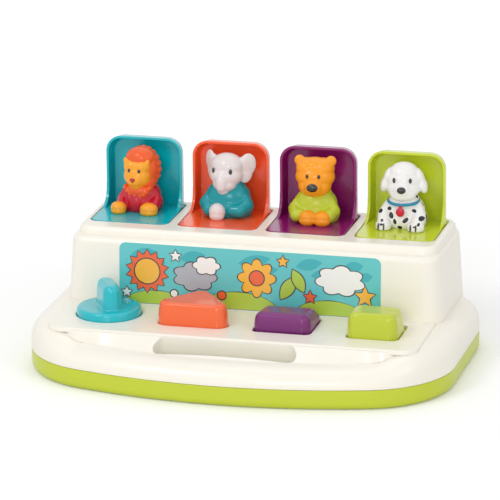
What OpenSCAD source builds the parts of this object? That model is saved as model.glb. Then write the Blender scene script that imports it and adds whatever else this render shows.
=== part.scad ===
// Pop up animal toy: four spring lids, each with a figure on its floor, opened by a turning knob,
// a push button, a rocker and a slider. Millimetres, +Z up, front towards -Y.
// Origin: middle of the base outline, on the surface that the toy stands on.

/* [Lids] */
// Width of one lid tray
lid_w = 60; // [48:0.5:72]
// Space between two lid trays
lid_gap = 8.5; // [7:0.5:14]
// Height of an open lid above the top of the housing
lid_h = 54.5; // [44:0.5:66]
// Depth of the walls round the edge of a lid
lid_rim_d = 10; // [6:0.5:12]
// Thickness of the lid's walls and floor
lid_t = 2.2; // [1.8:0.1:3]
// Radius of the lid's top corners
lid_corner_r = 12; // [8:0.5:16]
// Running gap round a lid in its opening
lid_clear = 0.8; // [0.5:0.1:1.2]
// Radius of a lid's hinge pin
hinge_pin_r = 1.25; // [1:0.05:1.5]

/* [Housing] */
// Height of the housing's wall between the deck and the ledge
housing_h = 49; // [41:0.5:60]
// Height of the top plate above the ledge
cap_h = 6; // [5:0.5:9]
// Flat margin of the top plate in front of the lids
cap_front = 15.8; // [13:0.1:20]
// How far the foot of the front wall stands in front of the top plate
housing_lean = 11; // [9:0.5:14]
// Wall thickness of both shells
wall = 2.5; // [2:0.1:3]

/* [Base] */
// Width of the shelf at each side of the housing
side_shelf = 17; // [12:0.5:24]
// Depth of the shelf behind the housing
back_shelf = 4; // [3:0.5:8]
// Height of the lower shell
base_h = 15.5; // [13:0.5:19]
// Height of the front bar above the lower shell
bar_h = 14.5; // [12:0.5:18]
// Height of the controls' platform above the front bar
platform_rise = 10; // [8:0.5:12]
// Radius of the bowed front edge
front_r = 400; // [330:5:600]
// Radius of the front corners
corner_r = 70; // [55:1:84]
// Radius of the back corners
back_r = 40; // [30:1:48]

/* [Handle] */
// Length of the carrying slot at the back
slot_l = 100; // [84:1:120]
// Width of the carrying slot
slot_d = 18; // [15:0.5:24]
// Thickness of the bar in front of the slot
bar_d = 19; // [16:0.5:24]

/* [Controls] */
// Radius of the turning knob
knob_r = 24.3; // [20:0.1:29.5]
// Height of the knob's disc above the platform
knob_disc_h = 6; // [4:0.5:8]
// Height of the knob's grip above the platform
grip_h = 26.5; // [20:0.5:32]
// Length of the knob's grip
grip_l = 32; // [26:0.5:40]
// Depth of the other three controls' openings
control_d = 40; // [34:0.5:44]
// Width of the push button
button_w = 53; // [46:0.5:60]
// Height of the push button above the platform
button_h = 17; // [14:0.5:20]
// How far the push button goes down
button_travel = 6; // [4:0.5:7]
// Width of the rocker
rocker_w = 43.5; // [36:0.5:50]
// Height of the rocker's front edge above the platform
rocker_h = 14; // [11:0.5:17]
// Width of the slider
slider_w = 38.6; // [32:0.2:46]
// Height of the slider above the platform
slider_h = 20; // [16:0.5:24]
// Depth of the slider's block
slider_d = 32; // [28:0.5:34]
// Running gap round a control in its opening
control_clear = 0.5; // [0.4:0.1:0.8]

/* [Hidden] */
$fn = 48;

// Colours
cream = [0.96, 0.945, 0.9];
teal = [0.04, 0.65, 0.69];
orange = [0.97, 0.33, 0.19];
purple = [0.46, 0.07, 0.35];
lime = [0.77, 0.8, 0.17];
steel = [0.72, 0.73, 0.75];
crimson = [0.76, 0.12, 0.2];
amber = [0.97, 0.63, 0.1];
ash = [0.88, 0.84, 0.83];
white = [0.93, 0.92, 0.9];

// Running clearance of a pin in its bore, and the gap between flat faces that slide
pin_clear = 0.06;
slide_clear = 0.3;
// Rails that carry the slides: width, and thickness and height of the fence outside each
rail_w = 3.6;
rail_fence_t = 1.6;
rail_fence_h = 3;
// Clearance of a pressed pin, and the thickness of the lip between the shells
press_clear = 0.02;
lip_t = 1.6;
// Springs as plain sleeves: gap to the pin, thickness, and length and radius of the leg
spring_clear = 0.5;
spring_t = 1;
spring_leg_l = 9;
spring_wire_r = 0.4;

// Lid places along X
lid_pitch = lid_w + lid_gap;
lid_x = [for (i = [0 : 3]) (i - 1.5) * lid_pitch];

// Heights
bar_z = base_h + bar_h;
deck_z = bar_z + platform_rise;
step_h = 1.5;
ledge_z = deck_z + housing_h;
cap_z = ledge_z + cap_h;
lid_top = cap_z + lid_h;
floor_z = wall;
under_round = 5.5;

// The lid's hinge axis lies just under the top plate's surface
hinge_drop = 3;
hinge_z = cap_z - hinge_drop;
lid_back = 1;
lid_sweep = 15;
lid_floor_corner = 7;
hub_l = 9;
spring_gap_hw = 10;
lid_notch_w = 12;
lid_notch_d = 3.4;
hub_r = 3;
rim_bevel = 1.5;
lid_rise = lid_top - hinge_z;
rim_reach = lid_rim_d + lid_t - lid_back;
lid_reach = norm([lid_rise, rim_reach - rim_bevel]);
lid_floor_reach = lid_reach - 1;

// Depths, counted from the hinge axis forwards and back
open_front_d = lid_reach + 0.45;
open_back_d = hub_r + lid_clear;
hinge_to_back = 11;
control_half_d = max(knob_r + control_clear, control_d / 2);
control_gap = 1.6;
platform_front_d = 17.5;
slot_gap = 1;
slot_flare = 8;
base_d = hinge_to_back + back_shelf + open_front_d + cap_front + housing_lean + control_gap
    + 2 * control_half_d + platform_front_d + slot_gap + slot_d + bar_d;
base_back = base_d / 2;
base_front = -base_d / 2;
hinge_y = base_back - back_shelf - hinge_to_back;
open_front = hinge_y - open_front_d;
open_back = hinge_y + open_back_d;
cap_front_y = open_front - cap_front;
housing_front = cap_front_y - housing_lean;
housing_back = hinge_y + hinge_to_back;
control_y = housing_front - control_gap - control_half_d;
control_front = control_y - control_d / 2;
control_back = control_y + control_d / 2;
platform_front = control_y - control_half_d - platform_front_d;
slot_back = platform_front - slot_gap;
slot_front = slot_back - slot_d;

// Half widths
open_hw = lid_w / 2 + lid_clear;
web = lid_pitch - 2 * open_hw;
cap_hw = lid_x[3] + open_hw + 5;
ledge_hw = cap_hw + 3;
housing_hw = ledge_hw + 3;
base_hw = housing_hw + side_shelf;
platform_hw = base_hw - 20.5;
housing_lean_top = 2.5;
housing_lean_side = 3;
housing_lean_back = 1;
housing_corner = 13;
cap_corner = 11;

// Catch levers: a pivot inside the front wall, a hook under the front margin of the top plate,
// and a long lower arm that the controls push back
catch_t = 4;
catch_w = 8;
hook_l = 5;
hook_gap = 0.25;
catch_back = open_front - hook_gap - hook_l;
catch_front = catch_back - catch_t;
catch_y = catch_front + catch_t / 2;
catch_z = cap_z - 20;
catch_top = cap_z - 5.5;
catch_pin_r = 1.5;
catch_hub_r = 3.4;
catch_rib_gap = 0.6;
catch_rib_t = 2.5;
catch_rib_h = 14;
foot_z = deck_z - 13;
push_z = foot_z + 4;
heel_l = 7;
push_gap = 0.3;
push_y = catch_front - push_gap;

// Shells: the curved edge of the deck
roll_w = 12;
edge_w = 9;
edge_z = deck_z - step_h;
roll_steps = 4;

// Every control has a flange or skirt under the deck that keeps it in its opening
skirt_t = 2.5;
skirt_edge = 2.5;
skirt_z = deck_z - wall - slide_clear - skirt_t;

// Knob and its slide: a crank pin under the knob moves the slide back
// The label: half its width, its margin above the deck, corner, thickness and how far it beds in
label_hw = lid_x[3] - 1.95;
label_margin = 1.5;
label_corner = 5;
label_t = 0.35;
label_sink = 0.03;

knob_x = lid_x[0];
knob_shaft_r = 5;
knob_turn = 60;
crank_r = 8;
crank_pin_r = 2;
grip_w = 10;
grip_turn = 30;
knob_slide_w = 24;
slide_t = 6;
knob_slide_z = push_z - slide_t;

// Push button
button_x = lid_x[1];
button_r = 8;
stem_r = 6;
stem_guide_z = deck_z - 20;
wedge_l = 12;

// Rocker and its slide: a tab under the rocker moves the slide back
rocker_x = lid_x[2];
rocker_z = deck_z - 4.5;
rocker_pin_r = 1.6;
rocker_fall = 3.4;
rocker_corner = 4;
rocker_front_gap = 2;
rocker_ear_t = 2.5;
rocker_side = 1.6;
rocker_under = 3;
tab_w = 6;
tab_t = 7;
tab_l = 23;
rocker_slide_w = 8;
rocker_slide_z = rocker_z - tab_l;

// Slider
slider_x = lid_x[3];
slider_corner = 5;
slider_travel = control_d - slider_d - control_clear;

// Screws and the posts that they hold, five in front and three between the lids
screw_r = 1.4;
boss_r = 3;
screw_head_r = 2.5;
screw_head_h = 1.9;
screw_sink = 0.8;
boss_front_y = control_y;
boss_back_y = hinge_y - 9;
boss_side_x = cap_hw - 1;
boss_front_x = [
    -boss_side_x,
    (knob_x + knob_r + button_x - button_w / 2) / 2,
    (button_x + button_w / 2 + rocker_x - rocker_w / 2 - rocker_side) / 2,
    (rocker_x + rocker_w / 2 + slider_x - slider_w / 2) / 2,
    boss_side_x
];
boss_xy = concat(
    [for (x = boss_front_x) [x, boss_front_y]],
    [for (i = [0 : 2]) [(lid_x[i] + lid_x[i + 1]) / 2, boss_back_y]]);
boss_top = base_h + 12;

// ---------- outlines ----------

// Points on an arc, from angle a0 to a1; first and last say how many points are left out at its ends
function arc(c, r, a0, a1, n, first = 0, last = 0) =
    [for (i = [first : n - last]) c + r * [cos(a0 + (a1 - a0) * i / n), sin(a0 + (a1 - a0) * i / n)]];

function rounded(x0, x1, y0, y1, r, n = 8) = concat(
    arc([x1 - r, y0 + r], r, -90, 0, n), arc([x1 - r, y1 - r], r, 0, 90, n),
    arc([x0 + r, y1 - r], r, 90, 180, n), arc([x0 + r, y0 + r], r, 180, 270, n));

// The base outline: a bowed front, wide front corners and smaller back corners
bow = asin((base_hw - corner_r) / (front_r - corner_r));
corner_cx = base_hw - corner_r;
corner_cy = base_front + front_r - (front_r - corner_r) * cos(bow);
back_c = [base_hw - back_r, base_back - back_r];

function outline_points(inset) = concat(
    arc([0, base_front + front_r], front_r - inset, -90 - bow, -90 + bow, 10),
    arc([corner_cx, corner_cy], corner_r - inset, -90 + bow, 0, 8, 1),
    arc(back_c, back_r - inset, 0, 90, 7),
    arc([-back_c[0], back_c[1]], back_r - inset, 90, 180, 7),
    arc([-corner_cx, corner_cy], corner_r - inset, 180, 270 - bow, 8, 0, 1));

module outline(inset = 0) {
    polygon(outline_points(inset));
}

module at(z, t = 0.02) {
    translate([0, 0, z]) linear_extrude(t) children();
}

module rod_x(x0, x1, y, z, r) {
    translate([x0, y, z]) rotate([0, 90, 0]) cylinder(h = x1 - x0, r = r);
}

// A profile in the YZ plane, extruded along X
module profile_x(x0, x1, points) {
    translate([x0, 0, 0]) rotate([90, 0, 90]) linear_extrude(x1 - x0) polygon(points);
}

// The carrying slot: straight at the back, wider along the bar
module slot_shape() {
    offset(r = 5) offset(delta = -5)
        polygon([[-slot_l / 2, slot_back], [slot_l / 2, slot_back],
            [slot_l / 2 + slot_flare, slot_front], [-slot_l / 2 - slot_flare, slot_front]]);
}

// The block round the slot that each shell has inside, from z0 up to z1 in front and z2 behind
module slot_block(z0, z1, z2, grow = 0) {
    half = slot_l / 2 + slot_flare + wall + grow;
    profile_x(-half, half, [
        [slot_front - wall - grow, z0], [slot_back + wall + grow, z0],
        [slot_back + wall + grow, z2], [slot_back, z2], [slot_front, z1],
        [slot_front - wall - grow, z1]]);
}

// Rounded triangle with its flat side in front
module button_shape(grow = 0) {
    offset(r = button_r + grow) polygon([
        [button_x - button_w / 2 + button_r, control_front + button_r],
        [button_x + button_w / 2 - button_r, control_front + button_r],
        [button_x, control_back - button_r]]);
}

module control_shape(x, w, r, y0 = control_front, y1 = control_back, grow = 0) {
    polygon(rounded(x - w / 2 - grow, x + w / 2 + grow, y0 - grow, y1 + grow, r + grow));
}

// ---------- shells ----------

// The deck with its rounded edge; t is the wall taken off
module deck_form(t) {
    hull() {
        at(base_h - t / 2) outline(t);
        for (i = [1 : roll_steps])
            at(base_h + (edge_z - base_h - t) * sin(90 * i / roll_steps))
                outline(t + edge_w * (1 - cos(90 * i / roll_steps)));
    }
}

// What is cut off in front, down to the rounded bar and the slope that rises from its back edge
module front_cut(t) {
    r = bar_h - t;
    y0 = base_front + t;
    back = platform_front + t;
    profile_x(-base_hw, base_hw, concat(
        [[base_front - 5, deck_z + 5], [base_front - 5, base_h + 2]],
        [for (i = [0 : roll_steps])
            [y0 + roll_w * (1 - cos(90 * i / roll_steps)), base_h + 2 + (r - 2) * sin(90 * i / roll_steps)]],
        [[slot_front + t, bar_z - t], [back, edge_z - t], [back, deck_z + 5]]));
}

// The housing: leaning front, sides and back, and rounded upright corners
module housing_form(t) {
    z0 = edge_z - 2 * t - 1;
    z1 = ledge_z - t;
    back = housing_back - t;
    front = housing_front + t;
    side = housing_hw - t;
    intersection() {
        translate([0, 0, z0]) linear_extrude(z1 - z0)
            polygon(rounded(-side, side, front, back, housing_corner - t));
        profile_x(-side, side, [
            [front, z0], [back, z0], [back - housing_lean_back, z1], [front + housing_lean_top, z1],
            [front, edge_z - 1]]);
        rotate([90, 0, 0]) translate([0, 0, -back]) linear_extrude(back - front + 1)
            polygon([[-side, z0], [side, z0],
                [side - housing_lean_side, z1], [-side + housing_lean_side, z1]]);
    }
}

module cap_form() {
    translate([0, 0, ledge_z - 0.5]) linear_extrude(cap_h - 0.7) cap_shape(0);
    translate([0, 0, ledge_z]) linear_extrude(cap_h) cap_shape(1.2);
}

module cap_shape(inset) {
    polygon(rounded(-cap_hw + inset, cap_hw - inset, cap_front_y + inset, housing_back - 2 - inset,
        cap_corner - inset));
}

module platform() {
    translate([0, 0, edge_z - 1]) linear_extrude(step_h + 1)
        polygon(rounded(-platform_hw, platform_hw, platform_front, housing_front + 30, 12));
}

module outer_form() {
    difference() {
        deck_form(0);
        front_cut(0);
    }
    platform();
    housing_form(0);
    cap_form();
}

module inner_form() {
    difference() {
        deck_form(wall);
        front_cut(wall);
    }
    translate([0, 0, edge_z - wall - 1]) linear_extrude(deck_z - edge_z + 1)
        polygon(rounded(-platform_hw + wall, platform_hw - wall, platform_front + wall,
            housing_front + 30, 12));
    housing_form(wall);
    translate([0, 0, ledge_z - wall - 1]) linear_extrude(cap_h + 1)
        polygon(rounded(-cap_hw + wall, cap_hw - wall, cap_front_y + wall,
            housing_back - 2 - wall, cap_corner - wall));
}

module control_openings() {
    translate([knob_x, control_y, deck_z - 10]) cylinder(h = 20, r = knob_r + control_clear);
    translate([0, 0, deck_z - 10]) linear_extrude(20) button_shape(control_clear);
    translate([0, 0, deck_z - 10]) linear_extrude(20)
        control_shape(rocker_x, rocker_w, rocker_corner, grow = control_clear);
    translate([0, 0, deck_z - 10]) linear_extrude(20)
        control_shape(slider_x, slider_w, slider_corner, grow = control_clear);
}

// A bracket under the top plate that holds the ends of the hinge pins beside it; an end bracket
// stops short of the housing's round back corner
module hinge_bracket(x0, x1, end = 0) {
    z0 = hinge_z - hub_r - 3;
    translate([x0, boss_back_y, z0])
        cube([x1 - x0, (end > 0 ? hinge_y + hub_r - 0.5 : housing_back - 2.6) - boss_back_y,
            cap_z - wall + 0.5 - z0]);
}

// Two ribs on the inside of the front wall that hold a catch lever's pin
module catch_ribs(x) {
    for (s = [-1, 1])
        translate([x + s * (catch_w / 2 + catch_rib_gap + catch_rib_t / 2) - catch_rib_t / 2,
            housing_front + housing_lean_top, catch_z - catch_rib_h / 2])
            cube([catch_rib_t, catch_y + 4.5 - housing_front - housing_lean_top, catch_rib_h]);
}

module rocker_ears() {
    for (s = [-1, 1])
        translate([rocker_x + s * (rocker_w / 2 + rocker_side + rocker_ear_t / 2) - rocker_ear_t / 2,
            control_y - 5, rocker_z - 5])
            cube([rocker_ear_t, 10, deck_z - rocker_z + 4]);
}

module boss_post(p, z0, z1, r = boss_r) {
    translate([p[0], p[1], z0]) cylinder(h = z1 - z0, r = r);
}

// Everything inside the top shell that grows out of its walls
module shell_ribs() {
    slot_block(floor_z + 1, bar_z - 1, edge_z - 1.5);
    hinge_bracket(-cap_hw + wall - 0.6, lid_x[0] - open_hw, 1);
    for (i = [0 : 2])
        hinge_bracket(lid_x[i] + open_hw, lid_x[i + 1] - open_hw);
    hinge_bracket(lid_x[3] + open_hw, cap_hw - wall + 0.6, 1);
    for (x = lid_x)
        catch_ribs(x);
    rocker_ears();
    for (p = boss_xy)
        boss_post(p, base_h, p[1] > 0 ? hinge_z - hub_r - 2 : deck_z - 1);
}

module top_shell() {
    pin_half = lid_w / 2 + lid_clear + web / 2 - 0.6;
    rib_half = catch_w / 2 + catch_rib_gap + catch_rib_t + 1;
    ear_half = rocker_w / 2 + rocker_side + rocker_ear_t + 1;
    color(cream) difference() {
        union() {
            difference() {
                outer_form();
                inner_form();
            }
            shell_ribs();
        }
        for (x = lid_x) {
            translate([x - open_hw, open_front, cap_z - 12])
                cube([2 * open_hw, open_back - open_front, 20]);
            rod_x(x - pin_half, x + pin_half, hinge_y, hinge_z, hinge_pin_r + press_clear);
            rod_x(x - rib_half, x + rib_half, catch_y, catch_z, catch_pin_r + press_clear);
        }
        control_openings();
        rod_x(rocker_x - ear_half, rocker_x + ear_half, control_y, rocker_z, rocker_pin_r + press_clear);
        linear_extrude(cap_z) slot_shape();
        for (p = boss_xy)
            boss_post(p, base_h - 1, boss_top, screw_r + press_clear);
    }
}

// Two rails on the base's floor: each has a rest under the slide and a cheek beside it
module slide_rails(x, w, y0, y1, z) {
    for (s = [-1, 1]) {
        translate([x + s * w / 2 - rail_w / 2, y0, floor_z - 0.5])
            cube([rail_w, y1 - y0, z - slide_clear - floor_z + 0.5]);
        translate([x + s * (w / 2 + slide_clear + rail_fence_t / 2) - rail_fence_t / 2, y0, floor_z - 0.5])
            cube([rail_fence_t, y1 - y0, z + rail_fence_h - floor_z]);
    }
}

module base_form() {
    hull() {
        at(0) outline(under_round);
        at(1.6) outline(under_round - 3.8);
        at(under_round) outline(0);
    }
    translate([0, 0, under_round]) linear_extrude(base_h - under_round) outline(0);
}

module base_shell() {
    color(lime) difference() {
        union() {
            difference() {
                base_form();
                translate([0, 0, floor_z]) linear_extrude(3) outline(under_round + wall / 2);
                translate([0, 0, floor_z + 2.5]) linear_extrude(base_h) outline(wall);
            }
            difference() {
                translate([0, 0, base_h - 6]) linear_extrude(6) outline(wall / 2);
                translate([0, 0, base_h - 7]) linear_extrude(8) outline(wall + slide_clear + lip_t);
            }
            difference() {
                translate([0, 0, base_h - 1]) linear_extrude(3) outline(wall + slide_clear);
                translate([0, 0, base_h - 2]) linear_extrude(5) outline(wall + slide_clear + lip_t);
            }
            difference() {
                slot_block(1, floor_z + 6, floor_z + 6, wall + slide_clear);
                slot_block(floor_z + 1 - slide_clear, base_h, base_h, slide_clear);
            }
            for (p = boss_xy)
                boss_post(p, 1, base_h, boss_r + 1);
            translate([knob_x, control_y, 1]) cylinder(h = base_h - 1, r = knob_shaft_r + 3);
            translate([button_x, control_y, 1]) cylinder(h = stem_guide_z - 1, r = stem_r + 2.5);
            slide_rails(knob_x, knob_slide_w, control_y - 13, housing_front + 4, knob_slide_z);
            slide_rails(rocker_x, rocker_slide_w, control_y + 14, housing_front + 8, rocker_slide_z);
            slide_rails(slider_x, slider_w, control_front - 3, control_back + 2, skirt_z - 3);
        }
        translate([0, 0, -1]) linear_extrude(base_h) slot_shape();
        translate([knob_x, control_y, floor_z]) cylinder(h = base_h, r = knob_shaft_r + pin_clear);
        translate([button_x, control_y, floor_z]) cylinder(h = deck_z, r = stem_r + pin_clear);
        for (p = boss_xy) {
            boss_post(p, -1, base_h + 1, screw_r + 0.3);
            boss_post(p, -1, screw_sink + screw_head_h, screw_head_r + 0.2);
        }
    }
}

module front_label() {
    tilt = atan2(housing_lean_top, ledge_z - (edge_z - 1));
    rise = deck_z + label_margin;
    lean = (rise - edge_z + 1) * tan(tilt);
    color(teal) translate([0, housing_front + lean - label_sink, rise]) rotate([90 - tilt, 0, 0])
        linear_extrude(label_t)
            polygon(rounded(-label_hw, label_hw, 0, housing_h - label_margin - 1, label_corner));
}

module case_screws() {
    color(steel)
        for (p = boss_xy) {
            boss_post(p, screw_sink, screw_sink + screw_head_h, screw_head_r);
            boss_post(p, screw_sink + 1, boss_top - 1, screw_r);
        }
}

// ---------- lids ----------

// The lid's front view: straight sides and rounded top corners
module lid_face(inset) {
    w = lid_w / 2 - inset;
    r = lid_corner_r - inset;
    polygon(concat(
        [[-w, cap_z - lid_t], [w, cap_z - lid_t]],
        arc([w - r, lid_top - inset - r], r, 0, 90, 8),
        arc([-w + r, lid_top - inset - r], r, 90, 180, 8)));
}

// One tray: an upright lid with a shallow wall round it and a floor that swings with it
module lid_tray(x) {
    front = hinge_y - rim_reach;
    back = hinge_y + lid_back;
    floor_front = hinge_y - lid_floor_reach;
    translate([x, 0, 0]) difference() {
        union() {
            difference() {
                translate([0, back, 0]) rotate([90, 0, 0]) linear_extrude(back - front) lid_face(0);
                translate([0, back - lid_t, -1]) rotate([90, 0, 0])
                    linear_extrude(back - front) lid_face(lid_t);
                translate([0, back - lid_t, 0]) rotate([90, 0, 0])
                    linear_extrude(back - front) lid_face(lid_t);
                translate([0, front, lid_top]) rotate([45, 0, 0])
                    cube([lid_w, 2 * rim_bevel / sqrt(2), 2 * rim_bevel / sqrt(2)], center = true);
            }
            translate([0, 0, cap_z - lid_t]) linear_extrude(lid_t)
                polygon(rounded(-lid_w / 2, lid_w / 2, floor_front, back, lid_floor_corner));
            translate([-lid_w / 2, back - 9, cap_z - lid_t]) cube([lid_w, 9, lid_t]);
            for (s = [-1, 1])
                profile_x(s > 0 ? lid_w / 2 - lid_t : -lid_w / 2, s > 0 ? lid_w / 2 : -lid_w / 2 + lid_t,
                    concat([[back - 2, cap_z - 1], [back - 2, cap_z + lid_sweep], [front, cap_z + lid_sweep]],
                        arc([front - lid_sweep, cap_z + lid_sweep], lid_sweep, 0, -90, 8, 1),
                        [[front - lid_sweep, cap_z - 1]]));
            for (s = [-1, 1])
                rod_x(s > 0 ? lid_w / 2 - hub_l : -lid_w / 2, s > 0 ? lid_w / 2 : -lid_w / 2 + hub_l,
                    hinge_y, hinge_z, hub_r);
        }
        rod_x(-lid_w, lid_w, hinge_y, hinge_z, hinge_pin_r + pin_clear);
        translate([-spring_gap_hw, hinge_y - 5, hinge_z - 5]) cube([2 * spring_gap_hw, 10, 9]);
        translate([0, figure_screw_y, cap_z - 5]) cylinder(h = 8, r = screw_r + 0.4);
        translate([-lid_notch_w / 2, hinge_y - 6.2, lid_top - 1]) cube([lid_notch_w, lid_notch_d, 2]);
    }
}

module lid_teal() { color(teal) lid_tray(lid_x[0]); }
module lid_orange() { color(orange) lid_tray(lid_x[1]); }
module lid_purple() { color(purple) lid_tray(lid_x[2]); }
module lid_lime() { color(lime) lid_tray(lid_x[3]); }

module hinge_pin(x) {
    half = open_hw + web / 2 - 0.9;
    color(steel) rod_x(x - half, x + half, hinge_y, hinge_z, hinge_pin_r);
}

// Wound torsion spring as a plain sleeve with its fixed leg
module pin_spring(x, w, y, z, pin_r, leg) {
    color(steel) {
        difference() {
            rod_x(x - w / 2, x + w / 2, y, z, pin_r + spring_clear + spring_t);
            rod_x(x - w, x + w, y, z, pin_r + spring_clear);
        }
        translate([x, y + leg * (pin_r + spring_clear + spring_t / 2), z - spring_leg_l])
            cylinder(h = spring_leg_l, r = spring_wire_r);
    }
}

// ---------- figures ----------

figure_y = hinge_y - 19;
figure_screw_y = figure_y - 10;

// Seated body: a rounded form, wider than deep, with two paws in front
module seated_body(x, w, h, paw_x, paw_r) {
    r = h / 2.2;
    translate([x, figure_y, cap_z]) difference() {
        union() {
            intersection() {
                hull()
                    for (s = [-1, 1], z = [r * 0.8, h - r])
                        translate([s * (w / 2 - r * (z > r ? 1.15 : 1)), 0, z]) sphere(r, $fn = 24);
                translate([-w, -w, 0]) cube([2 * w, 2 * w, h]);
            }
            intersection() {
                for (s = [-1, 1])
                    translate([s * paw_x, -r - 1, paw_r * 0.6]) sphere(paw_r);
                translate([-w, -w, 0]) cube([2 * w, 2 * w, h]);
            }
        }
        translate([0, figure_screw_y - figure_y, -1]) cylinder(h = 12, r = screw_r + press_clear);
    }
}

module lion_body() { color(crimson) seated_body(lid_x[0], 35, 22, 11, 6); }
module elephant_body() { color(teal) seated_body(lid_x[1], 41, 26, 5, 6); }
module bear_body() { color(lime) seated_body(lid_x[2], 39, 25, 6, 6); }
module dog_body() { color(white) seated_body(lid_x[3], 36, 25, 12, 6); }

// A round head whose underside is cut flat, to stand on the body
module round_head(r, squash_z, base_z) {
    intersection() {
        translate([0, 0, base_z + r - squash_z]) sphere(r);
        translate([-2 * r, -2 * r, base_z]) cube(4 * r);
    }
}

module lion_head() {
    color(orange) translate([lid_x[0], figure_y, cap_z]) {
        round_head(14, 2, 22);
        intersection() {
            translate([0, 0, 33]) rotate([90, 0, 0]) cylinder(h = 10, r = 16, center = true);
            translate([-20, -20, 22]) cube(40);
        }
    }
}

module elephant_head() {
    color(ash) translate([lid_x[1], figure_y, cap_z]) {
        round_head(13, 3, 26);
        for (s = [-1, 1])
            translate([s * 13, 3, 38]) rotate([90, 0, s * 20]) cylinder(h = 3, r = 8, center = true);
    }
}

module bear_head() {
    color(amber) translate([lid_x[2], figure_y, cap_z]) {
        round_head(14, 3, 25);
        for (s = [-1, 1])
            translate([s * 11, 2, 46]) sphere(4.4);
    }
}

module dog_head() {
    color(white) translate([lid_x[3], figure_y, cap_z]) {
        round_head(14, 3, 25);
        for (s = [-1, 1])
            translate([s * 13.5, 3, 36]) rotate([90, 0, 0]) cylinder(h = 4, r = 6, center = true);
    }
}

module figure_screw(x) {
    color(steel) translate([x, figure_screw_y, 0]) {
        translate([0, 0, cap_z - lid_t - 1.8]) cylinder(h = 1.8, r = 3);
        translate([0, 0, cap_z - lid_t - 1]) cylinder(h = 10, r = screw_r);
    }
}

// ---------- catches ----------

// A two-armed lever; heel is the length of the sloping heel that a downward push acts on
module catch_lever(x, heel = 0) {
    color(orange) difference() {
        union() {
            profile_x(x - catch_w / 2, x + catch_w / 2, [
                [catch_front - heel, foot_z], [catch_back, foot_z],
                [catch_back, catch_top - 5.5], [catch_back + hook_l, catch_top - 3],
                [catch_back + hook_l, catch_top - 1.2], [catch_back, catch_top],
                [catch_front, catch_top], [catch_front, foot_z + max(heel, 0.1)]]);
            rod_x(x - catch_w / 2, x + catch_w / 2, catch_y, catch_z, catch_hub_r);
        }
        rod_x(x - catch_w, x + catch_w, catch_y, catch_z, catch_pin_r + pin_clear);
    }
}

module catch_pin(x) {
    half = catch_w / 2 + catch_rib_gap + catch_rib_t;
    color(steel) rod_x(x - half, x + half + 4, catch_y, catch_z, catch_pin_r);
}

module catch_spring(x) {
    at_x = x + catch_w / 2 + catch_rib_gap + catch_rib_t + 2.2;
    pin_spring(at_x, 3, catch_y, catch_z, catch_pin_r, -1);
}

// ---------- controls ----------

module knob() {
    top = deck_z + knob_disc_h;
    color(teal) translate([knob_x, control_y, 0]) {
        translate([0, 0, skirt_z]) cylinder(h = skirt_t, r = knob_r + skirt_edge);
        translate([0, 0, skirt_z + 1]) cylinder(h = top - skirt_z - 2.5, r = knob_r);
        translate([0, 0, top - 1.5]) cylinder(h = 1.5, r1 = knob_r, r2 = knob_r - 1.5);
        translate([0, 0, floor_z + slide_clear]) cylinder(h = skirt_z - floor_z, r = knob_shaft_r);
        rotate([0, 0, 180 + knob_turn / 2]) translate([crank_r, 0, knob_slide_z - 1])
            cylinder(h = skirt_z - knob_slide_z + 2, r = crank_pin_r);
        rotate([0, 0, grip_turn]) grip();
    }
}

// The finger grip: an upright bar with round ends
module grip() {
    hull()
        for (s = [-1, 1])
            translate([0, s * (grip_l - grip_w) / 2, deck_z + knob_disc_h - 1])
                cylinder(h = grip_h - knob_disc_h + 1, r = grip_w / 2, $fn = 32);
}

module knob_slide() {
    throw = 2 * crank_r * sin(knob_turn / 2);
    crank_y = crank_r * sin(knob_turn / 2);
    shaft_slot = knob_shaft_r + 0.5;
    color(lime) translate([knob_x, control_y, knob_slide_z]) difference() {
        union() {
            translate([-knob_slide_w / 2, -15, 0]) cube([knob_slide_w, 30, slide_t]);
            translate([-catch_w / 2, 0, 0]) cube([catch_w, push_y - control_y, slide_t]);
        }
        translate([-shaft_slot, -throw - shaft_slot, -1])
            cube([2 * shaft_slot, throw + 2 * shaft_slot, slide_t + 2]);
        translate([-crank_r - crank_pin_r - 0.5, -crank_y - crank_pin_r - 0.35, -1])
            cube([crank_r, 2 * crank_pin_r + 0.7, slide_t + 2]);
    }
}

module push_button() {
    top = deck_z + button_h;
    prong_y = push_y - wedge_l;
    color(orange) {
        difference() {
            union() {
                translate([0, 0, skirt_z + 0.5]) linear_extrude(top - 2 - skirt_z - 0.5) button_shape(0);
                translate([0, 0, top - 2.01]) linear_extrude(1) button_shape(-0.7);
                translate([0, 0, top - 1.02]) linear_extrude(1.02) button_shape(-2);
                translate([0, 0, skirt_z]) linear_extrude(skirt_t) button_shape(skirt_edge);
            }
            difference() {
                translate([0, 0, skirt_z - 1]) linear_extrude(top - 2.5 - skirt_z + 1) button_shape(-2.2);
                translate([button_x, control_y, 0]) cylinder(h = top, r = stem_r + 2.5);
            }
        }
        translate([button_x, control_y, floor_z + button_travel + 1])
            cylinder(h = skirt_z - floor_z - button_travel, r = stem_r);
        profile_x(button_x - catch_w / 2, button_x + catch_w / 2, [
            [control_back - 1, skirt_z], [prong_y, skirt_z], [prong_y, foot_z + push_gap],
            [push_y - heel_l, foot_z + push_gap], [push_y, foot_z + heel_l + push_gap],
            [push_y, skirt_z + skirt_t], [control_back - 1, skirt_z + skirt_t]]);
    }
}

module button_spring() {
    color(steel) translate([button_x, control_y, stem_guide_z]) difference() {
        cylinder(h = skirt_z - stem_guide_z, r = stem_r + 2.2);
        translate([0, 0, -1]) cylinder(h = deck_z, r = stem_r + 0.6);
    }
}

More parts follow.
